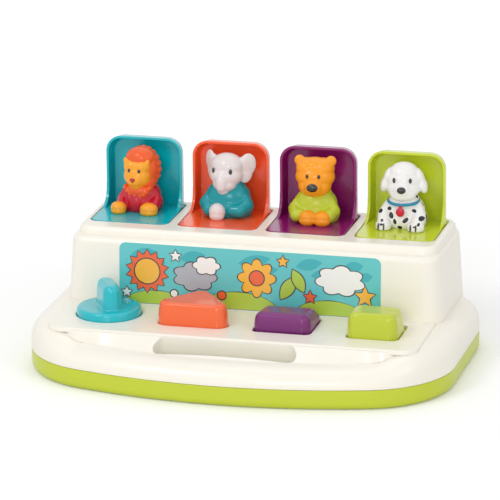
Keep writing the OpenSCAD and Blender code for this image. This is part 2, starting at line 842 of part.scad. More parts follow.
module rocker() {
    top = deck_z + rocker_h;
    low = rocker_z - rocker_under;
    front = control_front + rocker_front_gap;
    color(purple) difference() {
        union() {
            difference() {
                intersection() {
                    translate([0, 0, low]) linear_extrude(rocker_h + 20)
                        control_shape(rocker_x, rocker_w, rocker_corner, y0 = front);
                    profile_x(rocker_x - rocker_w, rocker_x + rocker_w, [
                        [front - 1, low], [control_back + 1, low],
                        [control_back + 1, top - rocker_fall], [front - 1, top]]);
                }
                translate([0, 0, low - 1]) linear_extrude(top - low - 5)
                    control_shape(rocker_x, rocker_w - 5, 2.5, y0 = front + 2.5, y1 = control_back - 2.5);
            }
            translate([rocker_x - tab_w / 2, control_y - tab_t / 2, rocker_slide_z])
                cube([tab_w, tab_t, top - rocker_slide_z - 4.5]);
        }
        rod_x(rocker_x - rocker_w, rocker_x + rocker_w, control_y, rocker_z, rocker_pin_r + pin_clear);
    }
}

module rocker_pin() {
    half = rocker_w / 2 + rocker_side + rocker_ear_t;
    color(steel) rod_x(rocker_x - half, rocker_x + half, control_y, rocker_z, rocker_pin_r);
}

module rocker_slide() {
    front = control_y + tab_t / 2 + push_gap;
    color(lime) translate([rocker_x - rocker_slide_w / 2, 0, rocker_slide_z]) {
        translate([0, front, 0]) cube([rocker_slide_w, push_y - front, 5]);
        translate([0, push_y - 4, 0]) cube([rocker_slide_w, 4, push_z - rocker_slide_z]);
    }
}

module slider() {
    block_back = control_front + slider_d;
    top = deck_z + slider_h;
    color(lime) difference() {
        union() {
            translate([0, 0, skirt_z + 0.5]) linear_extrude(top - 2.5 - skirt_z - 0.5)
                control_shape(slider_x, slider_w, slider_corner, y1 = block_back);
            translate([0, 0, top - 2.51]) linear_extrude(1.3)
                control_shape(slider_x, slider_w, slider_corner, y1 = block_back, grow = -0.8);
            translate([0, 0, top - 1.22]) linear_extrude(1.22)
                control_shape(slider_x, slider_w, slider_corner, y1 = block_back, grow = -2.4);
            translate([0, 0, skirt_z]) linear_extrude(skirt_t)
                control_shape(slider_x, slider_w + 2 * skirt_edge, 3,
                    y0 = control_front - slider_travel - 2, y1 = control_back + 2);
            translate([slider_x - catch_w / 2, control_back - 4, foot_z])
                cube([catch_w, 4, skirt_z - foot_z + 1]);
            translate([slider_x - catch_w / 2, control_back - 4, foot_z])
                cube([catch_w, push_y - control_back + 4, push_z - foot_z]);
        }
        translate([0, 0, skirt_z - 1]) linear_extrude(top - 2.5 - skirt_z + 1)
            control_shape(slider_x, slider_w, slider_corner, y1 = block_back, grow = -2.4);
    }
}

// ---------- all nodes ----------

base_shell();
top_shell();
front_label();
case_screws();
lid_teal();
lid_orange();
lid_purple();
lid_lime();
lion_body();
lion_head();
elephant_body();
elephant_head();
bear_body();
bear_head();
dog_body();
dog_head();
figure_screw(lid_x[0]);  // figure_screw_1
figure_screw(lid_x[1]);  // figure_screw_2
figure_screw(lid_x[2]);  // figure_screw_3
figure_screw(lid_x[3]);  // figure_screw_4
hinge_pin(lid_x[0]);  // hinge_pin_1
hinge_pin(lid_x[1]);  // hinge_pin_2
hinge_pin(lid_x[2]);  // hinge_pin_3
hinge_pin(lid_x[3]);  // hinge_pin_4
pin_spring(lid_x[0], 14, hinge_y, hinge_z, hinge_pin_r, 1);  // lid_spring_1
pin_spring(lid_x[1], 14, hinge_y, hinge_z, hinge_pin_r, 1);  // lid_spring_2
pin_spring(lid_x[2], 14, hinge_y, hinge_z, hinge_pin_r, 1);  // lid_spring_3
pin_spring(lid_x[3], 14, hinge_y, hinge_z, hinge_pin_r, 1);  // lid_spring_4
catch_lever(lid_x[0]);  // catch_lever_1
catch_lever(lid_x[1], heel_l);  // catch_lever_2
catch_lever(lid_x[2]);  // catch_lever_3
catch_lever(lid_x[3]);  // catch_lever_4
catch_pin(lid_x[0]);  // catch_pin_1
catch_pin(lid_x[1]);  // catch_pin_2
catch_pin(lid_x[2]);  // catch_pin_3
catch_pin(lid_x[3]);  // catch_pin_4
catch_spring(lid_x[0]);  // catch_spring_1
catch_spring(lid_x[1]);  // catch_spring_2
catch_spring(lid_x[2]);  // catch_spring_3
catch_spring(lid_x[3]);  // catch_spring_4
knob();
knob_slide();
push_button();
button_spring();
rocker();
rocker_pin();
rocker_slide();
slider();
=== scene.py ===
import math

import bmesh
import bpy
from bpy.props import FloatProperty, FloatVectorProperty, PointerProperty
from mathutils import Matrix, Quaternion, Vector


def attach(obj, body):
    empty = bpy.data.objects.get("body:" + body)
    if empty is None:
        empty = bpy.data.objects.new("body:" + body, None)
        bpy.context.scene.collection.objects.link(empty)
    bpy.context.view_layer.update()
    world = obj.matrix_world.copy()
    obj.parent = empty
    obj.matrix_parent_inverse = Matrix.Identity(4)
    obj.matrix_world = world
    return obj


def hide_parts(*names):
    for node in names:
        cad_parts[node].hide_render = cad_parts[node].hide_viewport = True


bl_info = {
    "name": "Pop up animal toy",
    "version": (1, 0, 0),
    "blender": (4, 5, 0),
    "location": "View3D > Sidebar > Pop up toy",
    "description": "Builds the visible pieces of a table toy with four pop up animals",
    "category": "Object",
}

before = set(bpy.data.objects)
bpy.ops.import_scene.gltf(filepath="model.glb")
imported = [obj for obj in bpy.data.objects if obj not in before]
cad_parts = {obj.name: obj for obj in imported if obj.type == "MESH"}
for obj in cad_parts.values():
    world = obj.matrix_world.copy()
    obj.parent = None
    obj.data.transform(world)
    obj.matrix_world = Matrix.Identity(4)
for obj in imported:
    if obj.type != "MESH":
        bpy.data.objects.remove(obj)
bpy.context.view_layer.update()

# ---- Sizes in millimetres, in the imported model's own frame ----

MM = 0.001

LID_X = (-102.75, -34.25, 34.25, 102.75)
LID_HALF = 30.0
LID_WALL = 2.2
LID_TOP = 149.5
LID_CORNER = 12.0
LID_BACK = 89.631
RIM_FRONT = 77.431
TRAY_FRONT = 31.319
HINGE_Y = 88.631
HINGE_Z = 92.0
HUB_R = 3.0
PIN_HOLE = 1.31
LID_SWEEP = 15.0

CAP_Z = 95.0
CAP_HALF = 138.55
CAP_FRONT = 14.069
CAP_BACK = 97.631
CAP_CORNER = 11.0
WELL_HALF = 30.8
WELL_FRONT = 29.869
WELL_BACK = 92.431

LEDGE_Z = 89.0
HOUSING_FRONT = 3.069
HOUSING_BACK = 99.631
HOUSING_HALF = 144.55
HOUSING_CORNER = 13.0
HOUSING_LOW = 37.5
LEAN_FRONT = 2.5
LEAN_SIDE = 3.0
LEAN_BACK = 1.0

DECK_Z = 40.0
EDGE_Z = 38.5
BAR_Z = 30.0
PLATFORM_FRONT = -65.631
PLATFORM_HALF = 141.05
PLATFORM_CORNER = 12.0
WALL = 2.5

SEAM_Z = 15.5
BASE_HALF = 161.55
BASE_FRONT = -103.631
BASE_BACK = 103.631
FRONT_R = 400.0
CORNER_R = 70.0
BACK_R = 40.0

SLOT_BACK = -66.631
SLOT_HALF_BACK = 50.0
SLOT_HALF_FRONT = 57.5
SLOT_CORNER = 5.0
CREASE_IN = 19.2

CONTROL_Y = -23.331
CONTROL_FRONT = -43.331
CONTROL_BACK = -3.331
KNOB_R = 24.3
KNOB_SHAFT_R = 5.0
CRANK_R = 8.0
CRANK_TURN = 210.0
GRIP_HALF = 8.6
GRIP_R = 7.4
GRIP_TURN = 30.0
BUTTON_HALF = 26.5
BUTTON_R = 8.0
BUTTON_STEM_R = 6.0
ROCKER_WIDTH = 43.5
ROCKER_PIN_Z = 35.5
ROCKER_FALL = 3.4
ROCKER_TAPER = 5.5
SLIDER_WIDTH = 38.6
SLIDER_LENGTH = 32.0
SLIDER_TAPER = 5.0
TURNING_GAP = 0.06
HOLE_LOW = 28.0
HOLE_HIGH = 48.0
CLEAR = 0.5
SKIRT_Z = 34.7
SKIRT_T = 2.5
FLOOR_Z = 2.5
FOOT_Z = 27.0
PUSH_Z = 31.0
PUSH_Y = 20.319
CATCH_Y = 22.619
CATCH_Z = 75.0

FIGURE_Y = 69.631
SCREW_Y = FIGURE_Y - 10.0

BOSS_SIDE = 137.55
BOSS_FRONT_X = (-BOSS_SIDE, -69.6, -1.45, 70.2, BOSS_SIDE)
BOSS_BACK_Y = HINGE_Y - 9.0
BOSSES = [(x, CONTROL_Y) for x in BOSS_FRONT_X] + [
    ((LID_X[i] + LID_X[i + 1]) / 2, BOSS_BACK_Y) for i in range(3)
]

LABEL_HALF = 100.8
LABEL_SHIFT = -1.4
LABEL_LOW = 40.7
LABEL_HIGH = 87.0
LABEL_T = 0.32
INK_T = 0.05

# The photograph is 500 x 500 pixels; its lens covers 36 mm at this length.
CAMERA_AT = (0.7549, -2.9019, 0.9876)
CAMERA_AIM = (-0.02056, 0.08145, 0.06372)
CAMERA_LENS = 302.6
CAMERA_TILT = 0.555


# ---- Outlines ----


def arc(cx, cy, radius, start, end, steps, first=0, last=0):
    """Points on an arc, in degrees, leaving out some at either end."""
    return [
        (
            cx + radius * math.cos(math.radians(start + (end - start) * i / steps)),
            cy + radius * math.sin(math.radians(start + (end - start) * i / steps)),
        )
        for i in range(first, steps + 1 - last)
    ]


def rounded(x0, x1, y0, y1, radius, steps=10):
    """A rectangle with round corners, counterclockwise from its lower right."""
    r = max(radius, 0.05)
    return (
        arc(x1 - r, y0 + r, r, -90, 0, steps)
        + arc(x1 - r, y1 - r, r, 0, 90, steps)
        + arc(x0 + r, y1 - r, r, 90, 180, steps)
        + arc(x0 + r, y0 + r, r, 180, 270, steps)
    )


def circle(cx, cy, radius, steps=72):
    """Points round a circle."""
    return arc(cx, cy, radius, 0, 360, steps, last=1)


def rounded_corners(points, radius, steps=8):
    """A polygon with each corner replaced by an arc, for corners that turn left."""
    made = []
    count = len(points)
    for i in range(count):
        here = Vector(points[i])
        to_last = (Vector(points[i - 1]) - here).normalized()
        to_next = (Vector(points[(i + 1) % count]) - here).normalized()
        half = to_last.angle(to_next) / 2
        middle = here + (to_last + to_next).normalized() * (radius / math.sin(half))
        start = here + to_last * (radius / math.tan(half))
        end = here + to_next * (radius / math.tan(half))
        a0 = math.degrees(math.atan2(start.y - middle.y, start.x - middle.x))
        a1 = math.degrees(math.atan2(end.y - middle.y, end.x - middle.x))
        if a1 < a0:
            a1 += 360
        made += arc(middle.x, middle.y, radius, a0, a1, steps)
    return made


def smooth_step(value):
    """0 to 1 with a soft start and end."""
    t = min(max(value, 0.0), 1.0)
    return t * t * (3 - 2 * t)


def plan_points():
    """The plan of both shells: each point, its inward direction, and its share of the low bar."""
    bow = math.degrees(math.asin((BASE_HALF - CORNER_R) / (FRONT_R - CORNER_R)))
    corner_x = BASE_HALF - CORNER_R
    corner_y = BASE_FRONT + FRONT_R - (FRONT_R - CORNER_R) * math.cos(math.radians(bow))
    right = []

    def add(cx, cy, radius, angle, front):
        out = Vector((math.cos(math.radians(angle)), math.sin(math.radians(angle))))
        right.append((Vector((cx, cy)) + out * radius, -out, front))

    for i in range(1, 31):
        add(0, BASE_FRONT + FRONT_R, FRONT_R, -90 + bow * i / 30, 1.0)
    for i in range(1, 31):
        angle = -90 + bow + (90 - bow) * i / 30
        add(corner_x, corner_y, CORNER_R, angle, smooth_step((-40 - angle) / 32))
    side_end = BASE_BACK - BACK_R
    for i in range(1, 6):
        y = corner_y + (side_end - corner_y) * i / 6
        right.append((Vector((BASE_HALF, y)), Vector((-1, 0)), 0.0))
    for i in range(0, 13):
        add(BASE_HALF - BACK_R, side_end, BACK_R, 90 * i / 12, 0.0)
    left = [(Vector((-p.x, p.y)), Vector((-n.x, n.y)), f) for p, n, f in reversed(right)]
    nose = [(Vector((0, BASE_FRONT)), Vector((0, 1)), 1.0)]
    return nose + right + left


PLAN = plan_points()


def plan_ring(inset, z):
    """The shells' plan moved inwards, at one height."""
    return [(*(p + n * inset), z) for p, n, _ in PLAN]


# Inset and height of the top shell's skin, up the low front bar and up the sides.
FRONT_ROLL = (
    (0.8, 15.5), (0.25, 15.7), (0.0, 16.3), (0.15, 18.8), (0.6, 20.6), (1.5, 22.7), (3.0, 24.7),
    (5.1, 26.6), (7.6, 28.0), (10.4, 29.0), (13.4, 29.6), (16.4, 29.9), (18.2, 30.0),
)
SIDE_ROLL = (
    (0.8, 15.5), (0.25, 15.7), (0.0, 16.3), (0.0, 20.0), (0.1, 23.5), (0.6, 26.8), (1.5, 29.6),
    (2.9, 32.1), (4.8, 34.3), (7.1, 36.1), (9.7, 37.4), (12.4, 38.1), (14.6, 38.4),
)


# Inset and height of the other rounded edges, from below.
PLATFORM_ROLL = ((0, 36.5), (0, 38.9), (0.3, 39.6), (0.9, 39.95), (1.6, 40.0))
HOUSING_ROLL = (
    (0, 36.0), (0, 84.6), (0.2, 86.0), (0.8, 87.3), (1.7, 88.3), (2.9, 88.9), (4.2, 89.0),
)
CAP_ROLL = (
    (-0.9, 86.0), (-0.9, 89.05), (-0.3, 89.5), (0, 90.4), (0.1, 91.6), (0.6, 93.1), (1.4, 94.2),
    (2.4, 94.8), (3.5, 95.0),
)
BASE_ROLL = (
    (5.5, 0.0), (4.5, 0.12), (3.3, 0.5), (2.2, 1.1), (1.3, 2.0), (0.6, 3.2), (0.15, 4.6),
    (0.0, 6.0), (0.0, 14.6), (0.2, 15.2), (0.8, 15.5),
)
KNOB_ROLL = ((0, SKIRT_Z + 0.5), (0, 43.6), (0.2, 44.6), (0.75, 45.35), (1.6, 45.85), (2.8, 46.0))
GRIP_ROLL = (
    (-0.6, 44.5), (-0.6, 46.0), (-0.25, 46.4), (0.0, 47.2), (0.7, 59.5), (1.2, 61.6), (2.0, 63.0),
    (3.2, 63.9), (4.8, 64.3),
)
BUTTON_ROLL = (
    (0.0, SKIRT_Z + 0.5), (0.0, 46.5), (0.35, 50.0), (1.0, 53.6), (1.35, 54.9), (2.0, 56.0),
    (3.0, 56.75), (4.2, 57.0),
)
SLIDER_ROLL = (
    (0.0, SKIRT_Z + 0.5), (0.0, 42.0), (0.4, 48.0), (1.0, 53.0), (1.4, 54.8), (2.1, 56.4),
    (3.2, 57.6), (4.6, 58.3), (6.4, 58.6),
)
# The rocker's has a third value: its share of the fall to the back.
ROCKER_ROLL = (
    (0.0, 32.5, 0), (0.0, 44.0, 0.2), (0.5, 47.6, 0.6), (1.0, 49.6, 1), (1.7, 51.1, 1),
    (2.7, 52.4, 1), (4.0, 53.3, 1), (5.4, 53.8, 1), (6.6, 54.0, 1),
)
# A lid's panel and its hollow, from back to front: inset and y.
HOLLOW_BACK = LID_BACK - LID_WALL
PANEL_ROLL = (
    (2.0, LID_BACK), (1.0, LID_BACK - 0.3), (0.3, LID_BACK - 1.0), (0.0, LID_BACK - 2.0),
    (0.0, RIM_FRONT + 0.8), (0.12, RIM_FRONT + 0.3), (0.5, RIM_FRONT),
)
HOLLOW_ROLL = (
    (1.8, HOLLOW_BACK), (0.8, HOLLOW_BACK - 0.25), (0.2, HOLLOW_BACK - 1.0),
    (0.0, HOLLOW_BACK - 2.2), (0.0, RIM_FRONT + 0.8), (-0.12, RIM_FRONT + 0.3),
    (-0.6, RIM_FRONT - 0.02), (-0.6, RIM_FRONT - 4),
)


def deck_rings(wall):
    """Rings of the deck and bar from the seam up, moved in by a wall for the hollow."""
    rings = []
    for (fi, fz), (si, sz) in zip(FRONT_ROLL, SIDE_ROLL):
        if wall and fz < 16.5:
            continue
        ring = []
        for p, n, front in PLAN:
            inset = si + (fi - si) * front + wall
            ring.append((*(p + n * inset), sz + (fz - sz) * front - wall))
        rings.append(ring)
    if wall:
        rings.insert(0, [(*(p + n * wall), SEAM_Z - 3) for p, n, _ in PLAN])
    slope = ((0.0, 0.02), (0.05, 0.06), (0.1, 0.11), (0.9, 0.93), (0.97, 0.985), (1.0, 1.0))
    for along, rise in slope:
        ring = []
        for p, n, front in PLAN:
            reach = (PLATFORM_FRONT - 1.0 - p.y) / max(n.y, 0.35)
            crease = min(CREASE_IN, max(reach - 2.5, 15.5))
            top = max(reach, crease + 1.5)
            front_inset = crease + (top - crease) * along
            side_inset = 15.6 + 1.8 * along
            inset = side_inset + (front_inset - side_inset) * front + wall
            z = EDGE_Z + (BAR_Z + (EDGE_Z - BAR_Z) * rise - EDGE_Z) * front
            ring.append((*(p + n * inset), z - wall))
        rings.append(ring)
    return rings


# ---- Mesh tools ----


def loft(rings):
    """A closed solid through rings of the same count, made by extruding its end face."""
    bm = bmesh.new()
    order = bm.verts.layers.int.new("order")
    verts = [bm.verts.new(point) for point in rings[0]]
    for i, vert in enumerate(verts):
        vert[order] = i
    face = bm.faces.new(verts)
    for number, ring in enumerate(rings[1:]):
        grown = bmesh.ops.extrude_face_region(bm, geom=[face])["geom"]
        for item in grown:
            if isinstance(item, bmesh.types.BMVert):
                item.co = ring[item[order]]
        if number:
            bmesh.ops.delete(bm, geom=[face], context="FACES_ONLY")
        face = [item for item in grown if isinstance(item, bmesh.types.BMFace)][0]
    bmesh.ops.recalc_face_normals(bm, faces=bm.faces)
    return bm


def block(points, z0, z1):
    """A flat outline raised from one height to another."""
    return loft([[(x, y, z0) for x, y in points], [(x, y, z1) for x, y in points]])


def side_block(points, x0, x1):
    """An outline in y and z, carried across in x."""
    return loft([[(x0, y, z) for y, z in points], [(x1, y, z) for y, z in points]])


def stepped(outline, steps):
    """A solid whose outline(inset) changes over (inset, height) steps."""
    return loft([[(x, y, z) for x, y in outline(inset)] for inset, z in steps])


def box(x0, x1, y0, y1, z0, z1):
    """A plain box between six planes."""
    bm = bmesh.new()
    middle = Matrix.Translation(((x0 + x1) / 2, (y0 + y1) / 2, (z0 + z1) / 2))
    size = Matrix.Diagonal((x1 - x0, y1 - y0, z1 - z0, 1))
    bmesh.ops.create_cube(bm, size=1, matrix=middle @ size)
    return bm


def post(x, y, z0, z1, radius, steps=40):
    """An upright cylinder."""
    return block(circle(x, y, radius, steps), z0, z1)


def rod(x0, x1, y, z, radius, steps=40):
    """A cylinder along x."""
    return side_block(circle(y, z, radius, steps), x0, x1)


def joined(parts):
    """Several solids in one mesh."""
    whole = bmesh.new()
    for part in parts:
        mesh = bpy.data.meshes.new("part")
        part.to_mesh(mesh)
        part.free()
        whole.from_mesh(mesh)
        bpy.data.meshes.remove(mesh)
    return whole


def temporary(bm):
    """An object that holds a mesh for a modifier, and is removed after it."""
    mesh = bpy.data.meshes.new("temporary")
    bm.to_mesh(mesh)
    bm.free()
    held = bpy.data.objects.new("temporary", mesh)
    bpy.context.scene.collection.objects.link(held)
    return held


def evaluated(held, tools=()):
    """The mesh of a temporary object after its modifiers; it and its tools are removed."""
    result = bmesh.new()
    result.from_object(held, bpy.context.evaluated_depsgraph_get())
    for item in (held, *tools):
        mesh = item.data
        bpy.data.objects.remove(item)
        bpy.data.meshes.remove(mesh)
    if not result.faces:
        raise RuntimeError("a mesh came out empty")
    return result


def combine(base, others, operation):
    """One solid joined with, or cut by, each of the others."""
    held = temporary(base)
    tools = [temporary(other) for other in others]
    for tool in tools:
        change = held.modifiers.new("change", "BOOLEAN")
        change.operation = operation
        change.solver = "MANIFOLD"
        change.object = tool
    return evaluated(held, tools)


def united(base, parts):
    """A solid joined with the others, one after another."""
    for part in parts:
        base = combine(base, [part], "UNION")
    return base


def carved(base, parts):
    """A solid cut by the others, one after another."""
    for part in parts:
        base = combine(base, [part], "DIFFERENCE")
    return base


def fused(parts, voxel, rounds):
    """Overlapping soft forms blended into one skin."""
    held = temporary(joined(parts))
    remesh = held.modifiers.new("skin", "REMESH")
    remesh.mode = "VOXEL"
    remesh.voxel_size = voxel
    remesh.use_smooth_shade = True
    skin = evaluated(held)
    for _ in range(rounds):
        bmesh.ops.smooth_vert(
            skin, verts=skin.verts, factor=0.5, use_axis_x=True, use_axis_y=True, use_axis_z=True
        )
    return skin


def ball(centre, radii, turn=(0, 0, 0), segments=32):
    """An ellipsoid with its own turn in degrees about x, y and z."""
    bm = bmesh.new()
    angles = [math.radians(a) for a in turn]
    spin = Matrix.Rotation(
        angles[2], 4, "Z"
    ) @ Matrix.Rotation(angles[1], 4, "Y") @ Matrix.Rotation(angles[0], 4, "X")
    place = Matrix.Translation(centre) @ spin @ Matrix.Diagonal((*radii, 1))
    bmesh.ops.create_uvsphere(
        bm, u_segments=segments, v_segments=segments // 2, radius=1, matrix=place
    )
    return bm


def chain(points, radii):
    """Balls set close together along a line, for a trunk, an arm or a tail."""
    balls = []
    for i in range(len(points) - 1):
        a, b = Vector(points[i]), Vector(points[i + 1])
        steps = max(2, int((b - a).length / 1.2))
        for k in range(steps + (i == len(points) - 2)):
            t = k / steps
            r = radii[i] + (radii[i + 1] - radii[i]) * t
            balls.append(ball(a.lerp(b, t), (r, r, r), segments=16))
    return balls


def cut_flat(bm, z):
    """Cuts a form level at its foot and closes it."""
    cut = bmesh.ops.bisect_plane(
        bm, geom=bm.verts[:] + bm.edges[:] + bm.faces[:], dist=1e-5,
        plane_co=(0, 0, z), plane_no=(0, 0, -1), clear_outer=True,
    )
    edges = [e for e in cut["geom_cut"] if isinstance(e, bmesh.types.BMEdge)]
    bmesh.ops.contextual_create(bm, geom=edges)
    return bm


def moved(bm, offset):
    """The same mesh at another place."""
    bmesh.ops.translate(bm, vec=offset, verts=bm.verts)
    return bm


def make_piece(name, bm, body, nodes, materials, sharp=32.0, merge=0.002):
    """Turns a mesh in millimetres into a finished piece that rides on its body."""
    if merge:
        bmesh.ops.remove_doubles(bm, verts=bm.verts, dist=merge)
    bmesh.ops.dissolve_degenerate(bm, dist=0.0005, edges=bm.edges)
    bmesh.ops.recalc_face_normals(bm, faces=bm.faces)
    bmesh.ops.scale(bm, vec=(MM, MM, MM), verts=bm.verts)
    for face in bm.faces:
        face.smooth = True
    limit = math.radians(sharp)
    for edge in bm.edges:
        edge.smooth = len(edge.link_faces) == 2 and edge.calc_face_angle(0) < limit
    mesh = bpy.data.meshes.new(name)
    bm.to_mesh(mesh)
    bm.free()
    piece = bpy.data.objects.new(name, mesh)
    bpy.context.scene.collection.objects.link(piece)
    for material in materials:
        mesh.materials.append(material)
    weighted = piece.modifiers.new("Even shading", "WEIGHTED_NORMAL")
    weighted.keep_sharp = True
    if nodes:
        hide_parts(*nodes)
    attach(piece, body)
    return piece


# ---- Materials ----

# The Mix node's sockets that carry colour.
MIX_A = 6
MIX_B = 7
MIX_RESULT = 2

WHITE = (1, 1, 1, 1)
GRAIN_DEPTH = 0.0002
COAT_ROUGHNESS = 0.08


def fill(tree, node, inputs):
    """Sets or links a node's inputs, each found by its name or number."""
    for key, value in inputs.items():
        if isinstance(value, bpy.types.NodeSocket):
            tree.links.new(value, node.inputs[key])
        else:
            node.inputs[key].default_value = value
    return node


def add_node(tree, kind, inputs, **settings):
    """A new shader node with its settings and inputs."""
    node = tree.nodes.new("ShaderNode" + kind)
    for key, value in settings.items():
        setattr(node, key, value)
    return fill(tree, node, inputs)


def new_group(name, inputs, outputs):
    """An empty node group with named sockets."""
    group = bpy.data.node_groups.new(name, "ShaderNodeTree")
    for label, kind, value in inputs:
        socket = group.interface.new_socket(
            name=label, in_out="INPUT", socket_type="NodeSocket" + kind
        )
        socket.default_value = value
    for label, kind in outputs:
        group.interface.new_socket(name=label, in_out="OUTPUT", socket_type="NodeSocket" + kind)
    return group, group.nodes.new("NodeGroupInput").outputs, group.nodes.new("NodeGroupOutput")


def math_node(tree, operation, first, second):
    """A Math node; each of its two inputs is a socket or a number."""
    return add_node(tree, "Math", {0: first, 1: second}, operation=operation).outputs[0]


def noise_node(tree, coords, scale, detail):
    """A noise texture on object coordinates."""
    inputs = {"Detail": detail, "Vector": coords, "Scale": scale}
    return add_node(tree, "TexNoise", inputs).outputs["Fac"]


def object_coords(tree):
    """Places measured on the object itself."""
    return tree.nodes.new("ShaderNodeTexCoord").outputs["Object"]


def length_node(tree, vector):
    """The length of a vector."""
    return add_node(tree, "VectorMath", {0: vector}, operation="LENGTH").outputs["Value"]


def colour_mix(tree, factor, first, second):
    """A mix of two colours."""
    inputs = {"Factor": factor, MIX_A: first, MIX_B: second}
    return add_node(tree, "Mix", inputs, data_type="RGBA").outputs[MIX_RESULT]


def moulding_group():
    """Faint flow marks and fine grain of moulded plastic."""
    if "Moulding" in bpy.data.node_groups:
        return bpy.data.node_groups["Moulding"]
    group, given, made = new_group(
        "Moulding",
        [
            ("Colour", "Color", (0.8, 0.8, 0.8, 1)),
            ("Tone spread", "Float", 0.03),
            ("Flow size", "Float", 14.0),
            ("Roughness", "Float", 0.25),
            ("Roughness spread", "Float", 0.08),
            ("Grain size", "Float", 900.0),
        ],
        [("Colour", "Color"), ("Roughness", "Float"), ("Height", "Float")],
    )
    coords = object_coords(group)
    flow = math_node(group, "SUBTRACT", noise_node(group, coords, given["Flow size"], 3), 0.5)
    swing = math_node(group, "MULTIPLY", flow, given["Tone spread"])
    value = math_node(group, "ADD", math_node(group, "MULTIPLY", swing, 2.0), 1.0)
    tone = add_node(group, "HueSaturation", {"Color": given["Colour"], "Value": value})
    rough = math_node(group, "MULTIPLY", flow, given["Roughness spread"])
    fill(group, made, {
        "Colour": tone.outputs[0],
        "Roughness": math_node(group, "ADD", rough, given["Roughness"]),
        "Height": noise_node(group, coords, given["Grain size"], 2),
    })
    return group


def edge_group():
    """Small radius on hard edges, and the paler rub marks that handling leaves on them."""
    if "Handled edges" in bpy.data.node_groups:
        return bpy.data.node_groups["Handled edges"]
    group, given, made = new_group(
        "Handled edges",
        [
            ("Colour", "Color", (0.8, 0.8, 0.8, 1)),
            ("Rubbed colour", "Color", (1, 1, 1, 1)),
            ("Amount", "Float", 0.2),
            ("Radius", "Float", 0.0006),
        ],
        [("Colour", "Color"), ("Normal", "Vector")],
    )
    soft = add_node(group, "Bevel", {"Radius": given["Radius"]}, samples=6).outputs[0]
    facing = group.nodes.new("ShaderNodeNewGeometry").outputs["Normal"]
    dot = add_node(group, "VectorMath", {0: soft, 1: facing}, operation="DOT_PRODUCT")
    bend = math_node(group, "SUBTRACT", 1.0, dot.outputs["Value"])
    patches = noise_node(group, object_coords(group), 60.0, 3)
    mask = math_node(group, "MULTIPLY", math_node(group, "MULTIPLY", bend, 4.0), patches)
    mask = math_node(group, "MINIMUM", math_node(group, "MULTIPLY", mask, given["Amount"]), 1.0)
    colour = colour_mix(group, mask, given["Colour"], given["Rubbed colour"])
    fill(group, made, {"Colour": colour, "Normal": soft})
    return group


def linear(colour):
    """Screen colour from 0 to 255 as the linear value that a shader takes."""
    made = []
    for value in colour:
        c = value / 255
        made.append(c / 12.92 if c <= 0.04045 else ((c + 0.055) / 1.055) ** 2.4)
    return (*made, 1.0)


def plastic(
    name, colour, roughness=0.25, coat=0.0, grain=0.02, tone=0.02, radius=0.0006, rub=0.05,
    shine=0.5, metallic=0.0,
):
    """Moulded plastic of one colour, with its grain, flow marks and handled edges."""
    if name in bpy.data.materials:
        return bpy.data.materials[name]
    material = bpy.data.materials.new(name)
    material.use_nodes = True
    tree = material.node_tree
    inputs = {"Colour": colour, "Tone spread": tone, "Roughness": roughness}
    moulding = add_node(tree, "Group", {}, node_tree=moulding_group())
    moulded = fill(tree, moulding, inputs).outputs
    edges = add_node(tree, "Group", {}, node_tree=edge_group())
    edged = fill(tree, edges, {
        "Amount": rub, "Radius": radius, "Colour": moulded["Colour"],
        "Rubbed colour": [0.5 + 0.5 * c for c in colour[:3]] + [1],
    }).outputs
    bump = add_node(tree, "Bump", {
        "Strength": grain, "Distance": GRAIN_DEPTH, "Height": moulded["Height"],
        "Normal": edged["Normal"],
    })
    fill(tree, tree.nodes["Principled BSDF"], {
        "Base Color": edged["Colour"], "Roughness": moulded["Roughness"],
        "Normal": bump.outputs["Normal"], "Metallic": metallic, "Coat Weight": coat,
        "Coat Roughness": COAT_ROUGHNESS, "Specular IOR Level": shine,
    })
    return material


def control_plastic(name, colour, roughness=0.22, coat=0.5, grain=0.015, tone=0.02):
    """The smooth plastic of the four controls."""
    return plastic(
        name, linear(colour), roughness, coat, grain, tone, radius=0.0008, rub=0.03, shine=0.35
    )


# The dog's scattered spots: cells to the metre, and how far a spot reaches in its cell.
SPOT_SCALE = 165.0
SPOT_SHARE = 0.33
# Makes a chest spot reach through the body from front to back.
NO_DEPTH = 1e6

# Spots on the dog's chest: place across and up from the tray, half sizes, and slant.
CHEST_SPOTS = (
    (-9.1, 15.1, 1.6, 1.4, 0), (-15.6, 13.2, 1.8, 1.2, -35), (-7.3, 10.3, 1.5, 2.4, -25),
    (-13.3, 7.7, 1.1, 1.0, 0),
    (-13.3, 5.1, 1.4, 0.8, 0), (-4.3, 6.0, 1.3, 2.1, -15), (3.8, 7.4, 1.6, 2.6, 48),
    (-0.5, 1.6, 1.9, 1.4, 0),
    (9.8, 14.4, 1.9, 1.2, 10), (16.2, 9.8, 2.1, 1.6, 30), (14.9, 6.2, 1.0, 1.1, 0),
    (12.0, 4.7, 1.0, 0.6, 0),
)


